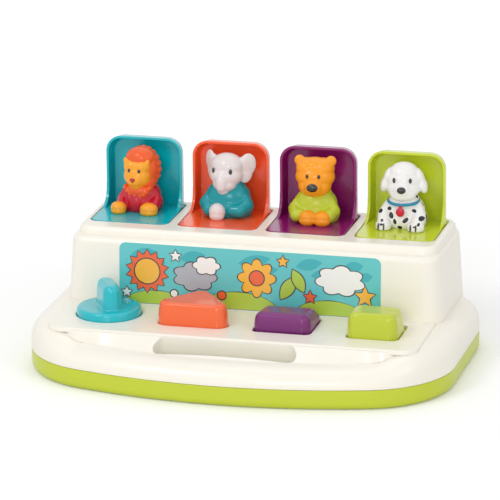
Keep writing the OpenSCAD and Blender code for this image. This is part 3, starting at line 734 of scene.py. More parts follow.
def spotted(name, colour, spot_colour, x, z):
    """Painted oval spots: placed on the chest and scattered over the back."""
    material = vinyl(name, colour, 0.34)
    tree = material.node_tree
    coords = object_coords(tree)
    cells = add_node(
        tree, "TexVoronoi", {"Scale": SPOT_SCALE, "Randomness": 0.85, "Vector": coords}
    )
    depth = add_node(tree, "SeparateXYZ", {0: coords}).outputs["Y"]
    behind = math_node(tree, "GREATER_THAN", depth, (FIGURE_Y - 2.0) * MM)
    dots = math_node(tree, "LESS_THAN", cells.outputs["Distance"], SPOT_SHARE)
    chest = None
    for sx, sz, rx, rz, slant in CHEST_SPOTS:
        spot = add_node(tree, "Mapping", {
            "Location": ((x + sx) * MM, 0, (z + sz) * MM),
            "Rotation": (0, math.radians(slant), 0),
            "Scale": (rx * MM, NO_DEPTH, rz * MM),
            "Vector": coords,
        }, vector_type="TEXTURE")
        size = length_node(tree, spot.outputs["Vector"])
        chest = size if chest is None else math_node(tree, "MINIMUM", chest, size)
    near = math_node(tree, "LESS_THAN", chest, 1.0)
    near = math_node(tree, "MULTIPLY", near, math_node(tree, "SUBTRACT", 1.0, behind))
    mask = math_node(tree, "MAXIMUM", math_node(tree, "MULTIPLY", behind, dots), near)
    shader = tree.nodes["Principled BSDF"]
    under = shader.inputs["Base Color"].links[0].from_socket
    fill(tree, shader, {"Base Color": colour_mix(tree, mask, under, spot_colour)})
    return material


# ---- Shells ----


def control_outline(x, width, radius, y0=CONTROL_FRONT, y1=CONTROL_BACK):
    """The plan of a square control, for any inset."""

    def outline(inset):
        return rounded(
            x - width / 2 + inset, x + width / 2 - inset, y0 + inset, y1 - inset, radius - inset
        )

    return outline


def button_outline(inset):
    """The plan of the triangular button."""
    x, half, r = LID_X[1], BUTTON_HALF, BUTTON_R
    middle = [
        (x - half + r, CONTROL_FRONT + r), (x + half - r, CONTROL_FRONT + r), (x, CONTROL_BACK - r)
    ]
    made = []
    side = math.degrees(math.atan2(middle[2][1] - middle[1][1], middle[2][0] - middle[1][0])) - 90
    turns = ((180 - side, 270), (-90, side), (side, 180 - side))
    for (cx, cy), (a0, a1) in zip(middle, turns):
        made += arc(cx, cy, max(r - inset, 0.3), a0, a1, 12)
    return made


def opening(outline, low, edge, high, lip=0.7):
    """A cutter for a hole whose upper edge is eased."""
    return stepped(
        outline,
        [
            (0, low), (0, edge - lip), (-lip * 0.13, edge - lip * 0.5),
            (-lip * 0.5, edge - lip * 0.13), (-lip, edge + 0.01), (-lip, high),
        ],
    )


def housing_rings(inset, steps):
    """Rings of the leaning housing; each step is a further inset and a height."""
    rings = []
    for more, z in steps:
        k = (z - HOUSING_LOW) / (LEDGE_Z - HOUSING_LOW)
        i = inset + more
        side = HOUSING_HALF - LEAN_SIDE * k - i
        plan = rounded(
            -side, side, HOUSING_FRONT + LEAN_FRONT * k + i, HOUSING_BACK - LEAN_BACK * k - i,
            HOUSING_CORNER - i, 14,
        )
        rings.append([(x, y, z) for x, y in plan])
    return rings


def cap_outline(inset):
    """The plan of the raised top plate."""
    return rounded(
        -CAP_HALF + inset, CAP_HALF - inset, CAP_FRONT + inset, CAP_BACK - inset,
        CAP_CORNER - inset, 14
    )


def platform_outline(inset):
    """The plan of the raised platform that carries the controls."""
    return rounded(
        -PLATFORM_HALF + inset, PLATFORM_HALF - inset, PLATFORM_FRONT + inset, HOUSING_FRONT + 30,
        PLATFORM_CORNER - inset, 12,
    )


def slot_outline(inset):
    """The carrying slot: straight behind, bowed along the crease in front, with slanting ends."""
    front = []
    for i in range(9):
        x = -SLOT_HALF_FRONT + 2 * SLOT_HALF_FRONT * i / 8
        front.append((x, BASE_FRONT + CREASE_IN + x * x / (2 * FRONT_R)))
    turned = rounded_corners(
        [
            front[0], front[-1], (SLOT_HALF_BACK, SLOT_BACK), (-SLOT_HALF_BACK, SLOT_BACK)
        ], SLOT_CORNER
    )
    made = []
    for x, y in turned:
        sag = (SLOT_HALF_FRONT ** 2 - x * x) / (2 * FRONT_R) if y < SLOT_BACK - 8 else 0
        pull = 1 - inset / SLOT_HALF_FRONT
        middle = (SLOT_BACK + front[4][1]) / 2
        made.append((x * pull, middle + (y - max(sag, 0) - middle) * (1 - inset / 9)))
    return made


def slot_wall(grow, z0, z1):
    """The block that keeps the slot's walls when the shells are hollowed."""
    return block(
        rounded(
            -SLOT_HALF_FRONT - grow, SLOT_HALF_FRONT + grow, BASE_FRONT + CREASE_IN - grow - 0.4,
            SLOT_BACK + grow, 5 + grow,
        ),
        z0, z1,
    )


def inside_ribs():
    """Hinge brackets, ribs beside the catches, ears of the rocker's pin and screw posts."""
    parts = []
    edges = [-CAP_HALF + 2.6] + [
        x + s * WELL_HALF for x in LID_X for s in (-1, 1)
    ] + [CAP_HALF - 2.6]
    for i in range(0, len(edges), 2):
        end = i in (0, len(edges) - 2)
        parts.append(
            box(
                edges[i], edges[i + 1], BOSS_BACK_Y, HINGE_Y + 2.5 if end else HOUSING_BACK - 2.6,
                HINGE_Z - 6, CAP_Z - 2.0,
            )
        )
    for x in LID_X:
        for s in (-1, 1):
            parts.append(
                box(
                    x + s * 5.85 - 1.25, x + s * 5.85 + 1.25, HOUSING_FRONT + 2.2, CATCH_Y + 4.5,
                    CATCH_Z - 7, CATCH_Z + 7,
                )
            )
    for s in (-1, 1):
        centre = LID_X[2] + s * 24.6
        parts.append(
            box(centre - 1.25, centre + 1.25, CONTROL_Y - 5, CONTROL_Y + 5, 30.5, DECK_Z - 1.5)
        )
    for x, y in BOSSES:
        parts.append(post(x, y, SEAM_Z, HINGE_Z - 5.2 if y > 0 else DECK_Z - 2, 3.0, 24))
    return parts


def build_top_shell(colours):
    """The cream upper shell: front bar with its slot, slope, platform, housing and top plate."""
    outer = combine(
        loft(deck_rings(0.0)),
        [
            stepped(platform_outline, PLATFORM_ROLL),
            loft(housing_rings(0.0, HOUSING_ROLL)),
            stepped(cap_outline, CAP_ROLL),
        ],
        "UNION",
    )
    inner = combine(
        loft(deck_rings(WALL)),
        [
            block(platform_outline(WALL), 30.0, DECK_Z - WALL),
            loft(housing_rings(WALL, [(0, 30.0), (0, LEDGE_Z - WALL)])),
            block(cap_outline(WALL), 80.0, CAP_Z - WALL),
        ],
        "UNION",
    )
    inner = carved(inner, [slot_wall(WALL, 5.0, 60.0)])
    shell = united(carved(outer, [inner]), inside_ribs())
    front, back = CONTROL_FRONT - CLEAR, CONTROL_BACK + CLEAR
    holes = (
        lambda inset: circle(LID_X[0], CONTROL_Y, KNOB_R + CLEAR - inset, 96),
        lambda inset: button_outline(inset - CLEAR),
        control_outline(LID_X[2], ROCKER_WIDTH + 2 * CLEAR, 4 + CLEAR, front, back),
        control_outline(LID_X[3], SLIDER_WIDTH + 2 * CLEAR, 5 + CLEAR, front, back),
    )
    cutters = [opening(hole, HOLE_LOW, DECK_Z, HOLE_HIGH) for hole in holes] + [
        block(slot_outline(0), 5.0, 60.0),
        rod(LID_X[0] - 36, LID_X[3] + 36, HINGE_Y, HINGE_Z, 1.27, 24),
        rod(LID_X[2] - 27, LID_X[2] + 27, CONTROL_Y, ROCKER_PIN_Z, 1.62, 24),
    ]
    for x in LID_X:
        def well(inset, half=WELL_HALF, x=x):
            return rounded(
                x - half + inset, x + half - inset, WELL_FRONT + inset, WELL_BACK - inset, 7 - inset
            )

        cutters.append(opening(well, 82.0, CAP_Z, 99.0, 0.6))
        cutters.append(rod(x - 9, x + 9, CATCH_Y, CATCH_Z, 1.52, 24))
    for x, y in BOSSES:
        cutters.append(post(x, y, SEAM_Z - 1, SEAM_Z + 12, 1.42, 24))
    shell = carved(shell, cutters)
    cream = plastic("Cream shell", linear(colours.shell), 0.3, 0.25, 0.05, 0.012, 0.0009, 0.0)
    make_piece("shell_top", shell, "root", ["top_shell"], [cream])


def build_base_shell(colours):
    """The lime lower shell with its rolled foot, slot walls, screw posts and guides."""
    shell = loft([plan_ring(inset, z) for inset, z in BASE_ROLL])
    floor = ((7, FLOOR_Z), (4, FLOOR_Z + 1), (WALL, FLOOR_Z + 4), (WALL, 18))
    hollow = carved(
        loft([plan_ring(inset, z) for inset, z in floor]), [slot_wall(WALL, -5.0, 40.0)]
    )
    shell = carved(shell, [hollow])
    inside = [post(x, y, 1, SEAM_Z, 4.0, 28) for x, y in BOSSES]
    inside.append(post(LID_X[0], CONTROL_Y, 1, SEAM_Z, 8.0, 40))
    inside.append(post(LID_X[1], CONTROL_Y, 1, 20.0, 8.5, 40))
    for x, width, y0, y1, top in (
        (LID_X[0], 24.0, CONTROL_Y - 13, 7.1, 25.0),
        (LID_X[2], 8.0, CONTROL_Y + 14, 11.1, 12.5),
        (LID_X[3], SLIDER_WIDTH, CONTROL_FRONT - 3, CONTROL_BACK + 2, SKIRT_Z - 3),
    ):
        for s in (-1, 1):
            inner = x + s * width / 2
            inside.append(box(inner - 1.8, inner + 1.8, y0, y1, 1.5, top - 0.3))
    cutters = [
        block(slot_outline(0), -5.0, 40.0),
        post(LID_X[0], CONTROL_Y, FLOOR_Z, 40, KNOB_SHAFT_R + TURNING_GAP),
        post(LID_X[1], CONTROL_Y, FLOOR_Z, 40, BUTTON_STEM_R + TURNING_GAP),
    ]
    for x, y in BOSSES:
        cutters.append(post(x, y, -1, 18, 1.7, 24))
        cutters.append(post(x, y, -1, 2.7, 2.7, 32))
    shell = carved(united(shell, inside), cutters)
    lime = plastic("Lime base", linear(colours.base), 0.3, 0.2, 0.05, 0.015, 0.0008, 0.0)
    make_piece("shell_base", shell, "root", ["base_shell"], [lime])


# ---- Printed label ----


def label_point(x, z, out):
    """A place on the leaning front of the housing, moved out from it."""
    return (
        x + LABEL_SHIFT,
        HOUSING_FRONT + LEAN_FRONT * (z - HOUSING_LOW) / (LEDGE_Z - HOUSING_LOW) - out, z,
    )


def lobed(cx, cz, wide, tall, lobes, depth, turn=0.0, steps=96):
    """A round outline with even lobes, for clouds and flowers."""
    made = []
    for i in range(steps):
        a = 2 * math.pi * i / steps
        r = 1 - depth + depth * abs(math.cos((a + turn) * lobes / 2))
        made.append((cx + wide * r * math.cos(a), cz + tall * r * math.sin(a)))
    return made


def star(cx, cz, outer, inner, points):
    """A pointed outline, for stars and sun rays."""
    made = []
    for i in range(points * 2):
        r = outer if i % 2 == 0 else inner
        a = math.radians(90 + 180 * i / points)
        made.append((cx + r * math.cos(a), cz + r * math.sin(a)))
    return made


def leaf(cx, cz, length, width, turn):
    """A leaf outline, pointed at both ends."""
    made = []
    for i in range(24):
        t = i / 24
        along = math.cos(2 * math.pi * t)
        across = math.sin(2 * math.pi * t) * abs(math.sin(2 * math.pi * t))
        x, z = along * length / 2, across * width / 2
        a = math.radians(turn)
        made.append(
            (cx + x * math.cos(a) - z * math.sin(a), cz + x * math.sin(a) + z * math.cos(a))
        )
    return made


def grown(points, by):
    """An outline moved out from its middle, for the dark line round a motif."""
    cx = sum(p[0] for p in points) / len(points)
    cz = sum(p[1] for p in points) / len(points)
    made = []
    for x, z in points:
        d = math.hypot(x - cx, z - cz)
        k = (d + by) / max(d, 0.01)
        made.append((cx + (x - cx) * k, cz + (z - cz) * k))
    return made


def build_label(colours):
    """The glossy printed label on the front of the housing, with its motifs."""
    ground = rounded(-LABEL_HALF, LABEL_HALF, LABEL_LOW, LABEL_HIGH, 5.0, 10)
    sheet = loft([
        [label_point(x, z, 0.0) for x, z in ground],
        [label_point(x, z, LABEL_T) for x, z in ground],
    ])
    inks = ["deep", "dark", "white", "amber", "orange", "lime", "grey"]
    prints = []

    def ink(points, colour, layer):
        far = LABEL_T + INK_T * layer
        shape = loft([
            [label_point(x, z, LABEL_T - 0.1) for x, z in points],
            [label_point(x, z, far) for x, z in points],
        ])
        for face in shape.faces:
            face.material_index = 1 + inks.index(colour)
        prints.append(shape)

    def outlined(points, colour, layer, line=0.9):
        ink(grown(points, line), "dark", layer)
        ink(points, colour, layer + 1)

    for cx, wide in ((-82, 13), (-44, 12), (4, 15), (46, 12), (80, 9)):
        ink(leaf(cx, 79, wide * 1.7, 9, 12), "deep", 1)
        ink(leaf(cx + 9, 72, wide * 1.3, 7, 12), "deep", 1)
    for cx, wide, top in ((-72, 24, 10), (-8, 30, 13), (62, 26, 11)):
        hill = [(cx - wide, LABEL_LOW + 0.4)] + [
            (
                cx - wide * math.cos(math.pi * i / 20),
                LABEL_LOW + 0.4 + top * math.sin(math.pi * i / 20),
            )
            for i in range(1, 20)
        ] + [(cx + wide, LABEL_LOW + 0.4)]
        hill.reverse()
        outlined(hill, "lime", 2, 0.7)
    for motif, colour, layer in (
        (star(-79, 66, 16.5, 12.5, 14), "orange", 4),
        (circle(-79, 66, 9.5, 48), "amber", 6),
        (lobed(-42, 64, 17.0, 11.0, 7, 0.22), "grey", 4),
        (lobed(-33, 73, 10.5, 7.0, 6, 0.24), "white", 6),
        (lobed(6, 66, 14.5, 14.5, 8, 0.30), "amber", 4),
        (circle(6, 66, 5.4, 40), "orange", 6),
        (leaf(30, 60, 21, 9.5, 58), "lime", 4),
        (leaf(38, 66, 19, 8.5, 118), "lime", 6),
        (lobed(70, 68, 19.0, 11.5, 7, 0.22, 0.3), "white", 4),
        (star(89, 57, 8.2, 3.7, 5), "amber", 6),
        (star(-57, 79, 4.6, 2.1, 5), "white", 6),
        (star(26, 80, 4.6, 2.1, 5), "amber", 6),
        (star(47, 54, 5.2, 2.4, 5), "orange", 6),
        (star(-95, 49, 4.2, 1.9, 5), "white", 6),
        (circle(-21, 51, 3.0, 24), "orange", 6),
        (circle(-58, 50, 2.6, 24), "white", 6),
    ):
        outlined(motif, colour, layer)
    label = joined([sheet] + prints)
    shades = {
        "ground": colours.label, "deep": (58, 178, 186), "dark": (70, 62, 66),
        "white": (244, 244, 240),
        "amber": (250, 186, 62), "orange": (240, 104, 58), "lime": (176, 205, 74),
        "grey": (176, 182, 190),
    }
    materials = [
        plastic("Label " + key, linear(shades[key]), 0.28, 0.3, 0.01, 0.01, 0.0001, 0.0)
        for key in ["ground"] + inks
    ]
    make_piece("label_front", label, "root", ["front_label"], materials, merge=0)


# ---- Lids ----


def lid_outline(half, top, radius, low):
    """The front outline of a lid: square at the foot, round at its two upper corners."""
    return (
        [(-half, low), (half, low)]
        + arc(half - radius, top - radius, radius, 0, 90, 12)
        + arc(-half + radius, top - radius, radius, 90, 180, 12)
    )


def lid_rings(steps, wall, low):
    """Rings from back to front; the panel widens towards its open side."""
    rings = []
    for inset, y in steps:
        draft = 1.7 * (LID_BACK - y) / (LID_BACK - RIM_FRONT) - 1.7
        i = wall + inset
        outline = lid_outline(LID_HALF + draft - i, LID_TOP + draft - i, LID_CORNER - wall, low)
        rings.append([(x, y, z) for x, z in outline])
    return rings


def build_lid(index, colour_name, colour):
    """One L-shaped tray with its hubs, catch notch and the hollow that holds the figure."""
    low = CAP_Z - LID_WALL
    hollow = loft(lid_rings(HOLLOW_ROLL, LID_WALL, CAP_Z - 8))
    tray = carved(loft(lid_rings(PANEL_ROLL, 0.0, low)), [hollow])
    floor = stepped(
        lambda inset: rounded(
            -LID_HALF + inset, LID_HALF - inset, TRAY_FRONT + inset, LID_BACK - 0.6, 7 - inset
        ),
        [(0.5, low), (0, low + 0.4), (0, CAP_Z - 0.5), (0.15, CAP_Z - 0.15), (0.5, CAP_Z)],
    )
    parts = [floor]
    top = CAP_Z + LID_SWEEP + 2
    sweep = [(RIM_FRONT + 1.2, CAP_Z - 1.0), (RIM_FRONT + 1.2, top), (RIM_FRONT + 0.1, top)]
    sweep += arc(RIM_FRONT + 0.1 - LID_SWEEP, CAP_Z + LID_SWEEP, LID_SWEEP, 0, -88, 14)
    sweep += [(RIM_FRONT - LID_SWEEP - 0.5, CAP_Z - 1.0)]
    for s in (-1, 1):
        x0, x1 = sorted((s * (LID_HALF - 0.02), s * (LID_HALF - LID_WALL)))
        parts.append(side_block(sweep, x0, x1))
        x0, x1 = sorted((s * (LID_HALF - 0.05), s * (LID_HALF - 9)))
        parts.append(rod(x0, x1, HINGE_Y, HINGE_Z, HUB_R))
    tray = carved(united(tray, parts), [
        rod(-40, 40, HINGE_Y, HINGE_Z, PIN_HOLE),
        box(-10, 10, HINGE_Y - 5, HINGE_Y + 5, HINGE_Z - 5, HINGE_Z + 2.2),
        post(0, SCREW_Y, CAP_Z - 5, CAP_Z + 3, 1.8, 24),
        box(-6, 6, HINGE_Y - 6.2, HINGE_Y - 2.8, LID_TOP - 1, LID_TOP + 1),
    ])
    body = "lid_" + colour_name
    shade = plastic("Lid " + colour_name, linear(colour), 0.22, 0.5, rub=0.03, shine=0.35)
    make_piece(
        "tray_" + colour_name, moved(tray, (LID_X[index], 0, 0)), body, [body],
        [shade],
    )


def build_lids(colours):
    """The four trays, from left to right."""
    build_lid(0, "teal", colours.teal)
    build_lid(1, "orange", colours.orange_lid)
    build_lid(2, "purple", colours.purple)
    build_lid(3, "lime", colours.lime)


# ---- Figures ----

LID_BODIES = ("lid_teal", "lid_orange", "lid_purple", "lid_lime")
# Above this angle in degrees an edge of a figure is shaded as sharp.
FIGURE_SHARP = 70.0


def at_figure(bm, index, turn=0.0):
    """Turns a figure made at the origin and puts it on the floor of its tray."""
    bmesh.ops.rotate(
        bm, verts=bm.verts, cent=(0, 0, 0), matrix=Matrix.Rotation(math.radians(turn), 3, "Z")
    )
    return moved(bm, (LID_X[index], FIGURE_Y, CAP_Z))


def vinyl(name, colour, roughness=0.36):
    """Soft satin vinyl of the figures, from a screen colour."""
    return plastic(name, linear(colour), roughness, 0.3, 0.03, 0.03, 0.0003, 0.03, 0.3)


def gloss_black():
    """Painted eyes and noses."""
    return plastic("Black paint", linear((26, 20, 22)), 0.15, 0.6, 0.01, 0.0, 0.0001, 0.0)


def pair(centre, radii, turn=(0, 0, 0)):
    """Two ellipsoids that mirror each other, left and right."""
    x, y, z = centre
    return [ball((s * x, y, z), radii, (turn[0], s * turn[1], s * turn[2])) for s in (-1, 1)]


def seated_body(width, height, chest=13.0):
    """A pear-shaped seated body with sloping shoulders."""
    half = width / 2
    return [
        ball((0, 0.5, height * 0.22), (half * 0.97, chest + 1.2, height * 0.46)),
        ball((0, 1, height * 0.46), (half * 0.86, chest, height * 0.50)),
        ball((0, 1.5, height * 0.72), (half * 0.64, chest * 0.80, height * 0.36)),
    ]


def arms(reach_x, shoulder_x, shoulder_z, hand_y, hand_z, thick):
    """Two arms close to the body, from the shoulders to the hands on the floor."""
    parts = []
    for s in (-1, 1):
        parts += chain(
            [
                (s * shoulder_x * 0.78, -1.5, shoulder_z + 1.0),
                (s * shoulder_x, -5.0, shoulder_z * 0.62),
                (
                    s * (shoulder_x * 0.55 + reach_x * 0.45), (hand_y - 7.5) / 2 - 2.0,
                    shoulder_z * 0.42,
                ),
                (s * reach_x, hand_y, hand_z),
            ],
            [thick * 0.8, thick, thick, thick * 0.9],
        )
    return parts


def figure_part(name, parts, index, nodes, material, voxel, rounds, turn=0.0):
    """Blends a part of a figure into one skin, cuts it level with the tray and places it."""
    skin = at_figure(cut_flat(fused(parts, voxel, rounds), 0.0), index, turn)
    make_piece(name, skin, LID_BODIES[index], nodes, [material], sharp=FIGURE_SHARP)


def small_parts(name, parts, index, material, turn=0.0):
    """Eyes, noses and other small pieces, each a closed form of its own."""
    skin = at_figure(joined(parts), index, turn)
    make_piece(name, skin, LID_BODIES[index], [], [material], sharp=FIGURE_SHARP)


def paw(x, y, z, width, depth, height):
    """A low rounded paw on the floor of the tray."""
    return [
        ball((x, y, z), (width / 2, depth / 2, height / 2 + 0.6)),
        ball((x, y - 0.4, z - height * 0.25), (width * 0.49, depth * 0.5, height * 0.42)),
    ]


def painted_eyes(name, index, half_gap, y, z, slant, turn, width=1.1, height=1.9):
    """Two tall oval eyes, set into the face."""
    eyes = pair((half_gap, y, z), (width, 0.75, height), (0, 0, slant))
    small_parts(name, eyes, index, gloss_black(), turn)


def build_lion(colours):
    """The lion: scalloped mane, square face and amber paws over a crimson body."""
    index, turn = 0, -6.0
    mane = [
        ball((1, -2.0, 33.4), (13.2, 9.0, 16.4)), ball((1, -2.0, 24.0), (12.2, 8.8, 10.0)),
        ball((1, -3.0, 41.6), (11.6, 9.6, 8.2)),
    ]
    for i in range(19):
        a = 2 * math.pi * i / 19
        mane.append(
            ball((1.2 + 11.7 * math.sin(a), 2.4, 32.6 + 14.6 * math.cos(a)), (2.7, 4.6, 2.7))
        )
    for i in range(9):
        a = math.radians(-60 + 15 * i)
        mane.append(
            ball((0.8 + 10.8 * math.sin(a), -9.0, 25.4 - 12.4 * math.cos(a)), (2.4, 4.6, 2.4))
        )
    mane.append(ball((0.8, -8.0, 17.5), (9.6, 6.6, 5.6)))
    figure_part(
        "lion_mane", mane, index, ["lion_head"], vinyl("Mane", colours.mane), 0.5,
        3, turn,
    )
    amber = vinyl("Amber face", colours.amber)
    face = [
        *pair((4.0, -6.9, 35.4), (6.8, 7.8, 6.6)), ball((0, -6.9, 35.4), (7.0, 7.9, 6.8)),
        ball((0, -7.8, 28.4), (10.7, 9.0, 9.8)),
        ball((0, -12.2, 25.8), (6.6, 6.2, 5.6)),
        ball((0, -12.4, 30.0), (2.8, 4.3, 5.0)),
        ball((0, -11.0, 21.6), (5.4, 4.8, 3.6)),
        *pair((8.6, -8.9, 39.6), (2.2, 1.9, 2.9)),
    ]
    figure_part("lion_face", face, index, [], amber, 0.5, 4, turn)
    painted_eyes("lion_eyes", index, 4.0, -14.6, 33.2, 16, turn, 1.2, 2.0)
    nose = [ball((0, -18.2, 27.4), (2.2, 1.0, 1.5)), ball((0, -18.1, 26.2), (1.0, 0.9, 1.1))]
    small_parts(
        "lion_nose", nose, index, vinyl("Dark red paint", (186, 46, 38), 0.25),
        turn,
    )
    trunk = seated_body(35, 25) + arms(11.5, 13.4, 14.0, -10.5, 5.0, 4.4) + [
        ball((-1.5, -8.6, 8.0), (7.4, 6.6, 9.4))
    ]
    figure_part(
        "lion_seat", trunk, index, ["lion_body"],
        vinyl("Crimson", colours.crimson, 0.26), 0.6, 5,
    )
    paws = paw(-14.2, -14.4, 4.2, 12.2, 11.6, 8.4) + paw(9.8, -14.8, 4.2, 14.2, 12.0, 8.8)
    figure_part("lion_paws", paws, index, [], amber, 0.45, 4)


def build_elephant(colours):
    """The elephant: wide ears swept back from the head, an embossed trunk, and a teal body."""
    index, turn = 1, -9.0
    grey = vinyl("Pale grey", colours.grey)
    head = [
        ball((0, -1.0, 38.4), (13.0, 11.0, 10.0)),
        ball((0, -3.2, 32.0), (13.2, 10.8, 9.2)),
        ball((0, -6.2, 25.8), (9.4, 8.2, 6.4)),
        ball((0, -8.4, 21.4), (4.8, 5.2, 4.0)),
    ]
    head += chain([(0, -9.6, 32.0), (0, -11.6, 28.6), (0, -12.0, 25.0)], [5.0, 5.0, 4.6])
    for s in (-1, 1):
        head.append(ball((s * 15.4, 2.9, 40.0), (6.6, 1.9, 8.8), (0, s * 2, s * 36)))
        head.append(ball((s * 14.0, 1.9, 33.6), (5.6, 1.9, 8.4), (0, s * 10, s * 34)))
        head.append(ball((s * 11.6, 1.4, 41.0), (3.0, 2.6, 5.2)))
    figure_part("elephant_face", head, index, ["elephant_head"], grey, 0.55, 4, turn)
    # Thin darker pinkish-grey sheets inside the ears are painted shade: they darken the ears' inner
    # faces where shade falls, while the ears themselves are all one grey.
    ear_shade = pair((15.4, 1.7, 38.6), (4.4, 1.0, 7.4), (0, 8, 36))
    small_parts(
        "elephant_ear_painted_shade", ear_shade, index, vinyl("Ear painted shade grey", (224, 208, 204)),
        turn,
    )
    painted_eyes("elephant_eyes", index, 7.1, -11.3, 36.6, 30, turn, 1.2, 2.2)
    trunk = seated_body(41, 29, 13.4) + arms(6.5, 15.8, 15.0, -11.5, 6.5, 5.4)
    figure_part(
        "elephant_seat", trunk, index, ["elephant_body"],
        vinyl("Teal knit", colours.teal_figure, 0.26), 0.6, 5,
    )
    hand = [ball((-4.7, -15.2, 5.6), (6.3, 5.8, 6.8)), ball((-4.7, -16.2, 3.0), (5.9, 5.2, 4.4))]
    figure_part("elephant_hands", hand, index, [], grey, 0.45, 4)


def build_bear(colours):
    """The bear: square head with round ears, a wide nose, and folded arms in a lime jumper."""
    index, turn = 2, 4.0
    amber = vinyl("Bear amber", colours.bear)
    head = [
        *pair((6.0, -0.6, 40.8), (8.8, 9.8, 8.0)),
        ball((0, -1.6, 34.6), (15.2, 11.6, 10.4)),
        ball((0, -3.6, 27.8), (12.8, 10.4, 8.8)),
        ball((0, -10.8, 28.2), (7.0, 6.6, 5.8)),
        ball((0, -0.8, 43.0), (11.0, 8.6, 6.2)),
        *pair((12.0, -0.4, 46.4), (4.2, 3.2, 4.2)),
    ]
    figure_part("bear_face", head, index, ["bear_head"], amber, 0.55, 5, turn)
    painted_eyes("bear_eyes", index, 4.5, -12.7, 37.0, 20, turn, 1.05, 1.7)
    small_parts(
        "bear_nose", [ball((0, -16.6, 29.2), (4.3, 2.1, 3.3))], index,
        gloss_black(), turn,
    )
    trunk = seated_body(39, 27, 13.0) + arms(8.5, 15.0, 14.5, -12.0, 6.5, 5.2)
    figure_part(
        "bear_seat", trunk, index, ["bear_body"],
        vinyl("Lime knit", colours.lime_figure, 0.3), 0.6, 5,
    )
    hands = []
    for x in (-2.8, 8.4):
        hands += [ball((x, -14.8, 6.2), (6.6, 5.6, 5.0)), ball((x, -15.6, 3.6), (6.6, 5.2, 4.6))]
    figure_part("bear_hands", hands, index, [], amber, 0.45, 3)


def build_dog(colours):
    """The spotted dog: hanging ears, collar with a tag, and two paws in front."""
    index, turn = 3, 5.0
    white = vinyl("Dog white", colours.dog)
    head = [
        ball((0, -0.5, 40.8), (11.4, 10.8, 8.6)),
        ball((0, -1.5, 36.0), (13.4, 11.4, 9.6)),
        ball((0, -3.5, 30.6), (13.0, 11.0, 9.0)),
        ball((0, -7.4, 27.2), (10.4, 9.2, 6.6)),
        ball((0, -11.2, 30.0), (7.2, 6.4, 6.0)),
    ]
    for s in (-1, 1):
        head += [
            ball((s * 12.0, -0.6, 38.2), (3.2, 5.6, 7.0), (0, s * -20, 0)),
            ball((s * 14.4, -0.9, 32.0), (3.3, 5.6, 6.4), (0, s * -14, 0)),
        ]
    figure_part("dog_face", head, index, ["dog_head"], white, 0.55, 4, turn)
    painted_eyes("dog_eyes", index, 6.2, -12.2, 38.0, 24, turn, 1.15, 2.05)
    small_parts(
        "dog_nose", [ball((0, -17.0, 31.6), (3.4, 2.3, 2.7))], index,
        gloss_black(), turn,
    )
    spots = spotted("Dog spotted", colours.dog, linear((28, 26, 30)), LID_X[index], CAP_Z)
    trunk = seated_body(37, 26) + [ball((0, -1.6, 20.0), (11.2, 10.8, 5.6))]
    for s in (-1, 1):
        trunk += chain(
            [(s * 10.8, -3.0, 16.0), (s * 13.4, -8.0, 10.0), (s * 12.6, -13.0, 4.6)],
            [4.4, 5.2, 5.4],
        )
    figure_part("dog_seat", trunk, index, ["dog_body"], spots, 0.6, 5)
    paws = paw(-12.6, -15.0, 3.6, 12.2, 10.6, 6.6) + paw(12.2, -15.0, 3.6, 13.2, 10.6, 6.8)
    figure_part("dog_paws", paws, index, [], spots, 0.45, 4)
    lines = []
    for x in (-15.6, -11.4, 9.0, 13.2):
        lines += chain([(x, -20.3, 1.4), (x, -20.2, 3.6), (x, -19.4, 5.4)], [0.6, 0.75, 0.6])
    small_parts("dog_toe_lines", lines, index, gloss_black())
    ring = []
    for i in range(64):
        a = 2 * math.pi * i / 64
        ring.append(
            ball(
                (11.7 * math.cos(a), -1.8 + 11.3 * math.sin(a), 19.9 + 0.7 * math.sin(a)),
                (1.0, 1.0, 1.3), segments=16,
            )
        )
    figure_part(
        "dog_collar", ring, index, [], vinyl("Collar blue", (20, 140, 175)), 0.4, 3
    )
    tag = [ball((0, -14.6, 13.9), (3.3, 1.3, 3.5)), ball((0, -14.2, 17.4), (1.2, 0.9, 1.8))]
    small_parts("dog_tag", tag, index, vinyl("Tag red", (205, 25, 55), 0.2))


# ---- Controls ----


def build_knob(colours):
    """The turning knob: round disc, upright grip, skirt, shaft and crank pin."""
    x, y = LID_X[0], CONTROL_Y
    disc = stepped(lambda inset: circle(x, y, KNOB_R - inset, 120), KNOB_ROLL)

    def grip_outline(inset):
        r = GRIP_R - inset
        points = arc(0, GRIP_HALF, r, 0, 180, 16) + arc(0, -GRIP_HALF, r, 180, 360, 16)
        c, s = math.cos(math.radians(GRIP_TURN)), math.sin(math.radians(GRIP_TURN))
        return [(x + px * c - py * s, y + px * s + py * c) for px, py in points]

    a = math.radians(CRANK_TURN)
    crank_x, crank_y = x + CRANK_R * math.cos(a), y + CRANK_R * math.sin(a)
    knob = united(disc, [
        stepped(grip_outline, GRIP_ROLL),
        post(x, y, SKIRT_Z, SKIRT_Z + SKIRT_T, KNOB_R + 2.5, 96),
        post(x, y, FLOOR_Z + 0.3, SKIRT_Z + 1, KNOB_SHAFT_R),
        post(crank_x, crank_y, 24.0, SKIRT_Z + 1, 2.0, 24),
    ])
    shade = control_plastic("Knob teal", colours.teal, 0.16, 0.6, 0.01)
    make_piece("knob_turned", knob, "knob", ["knob"], [shade])


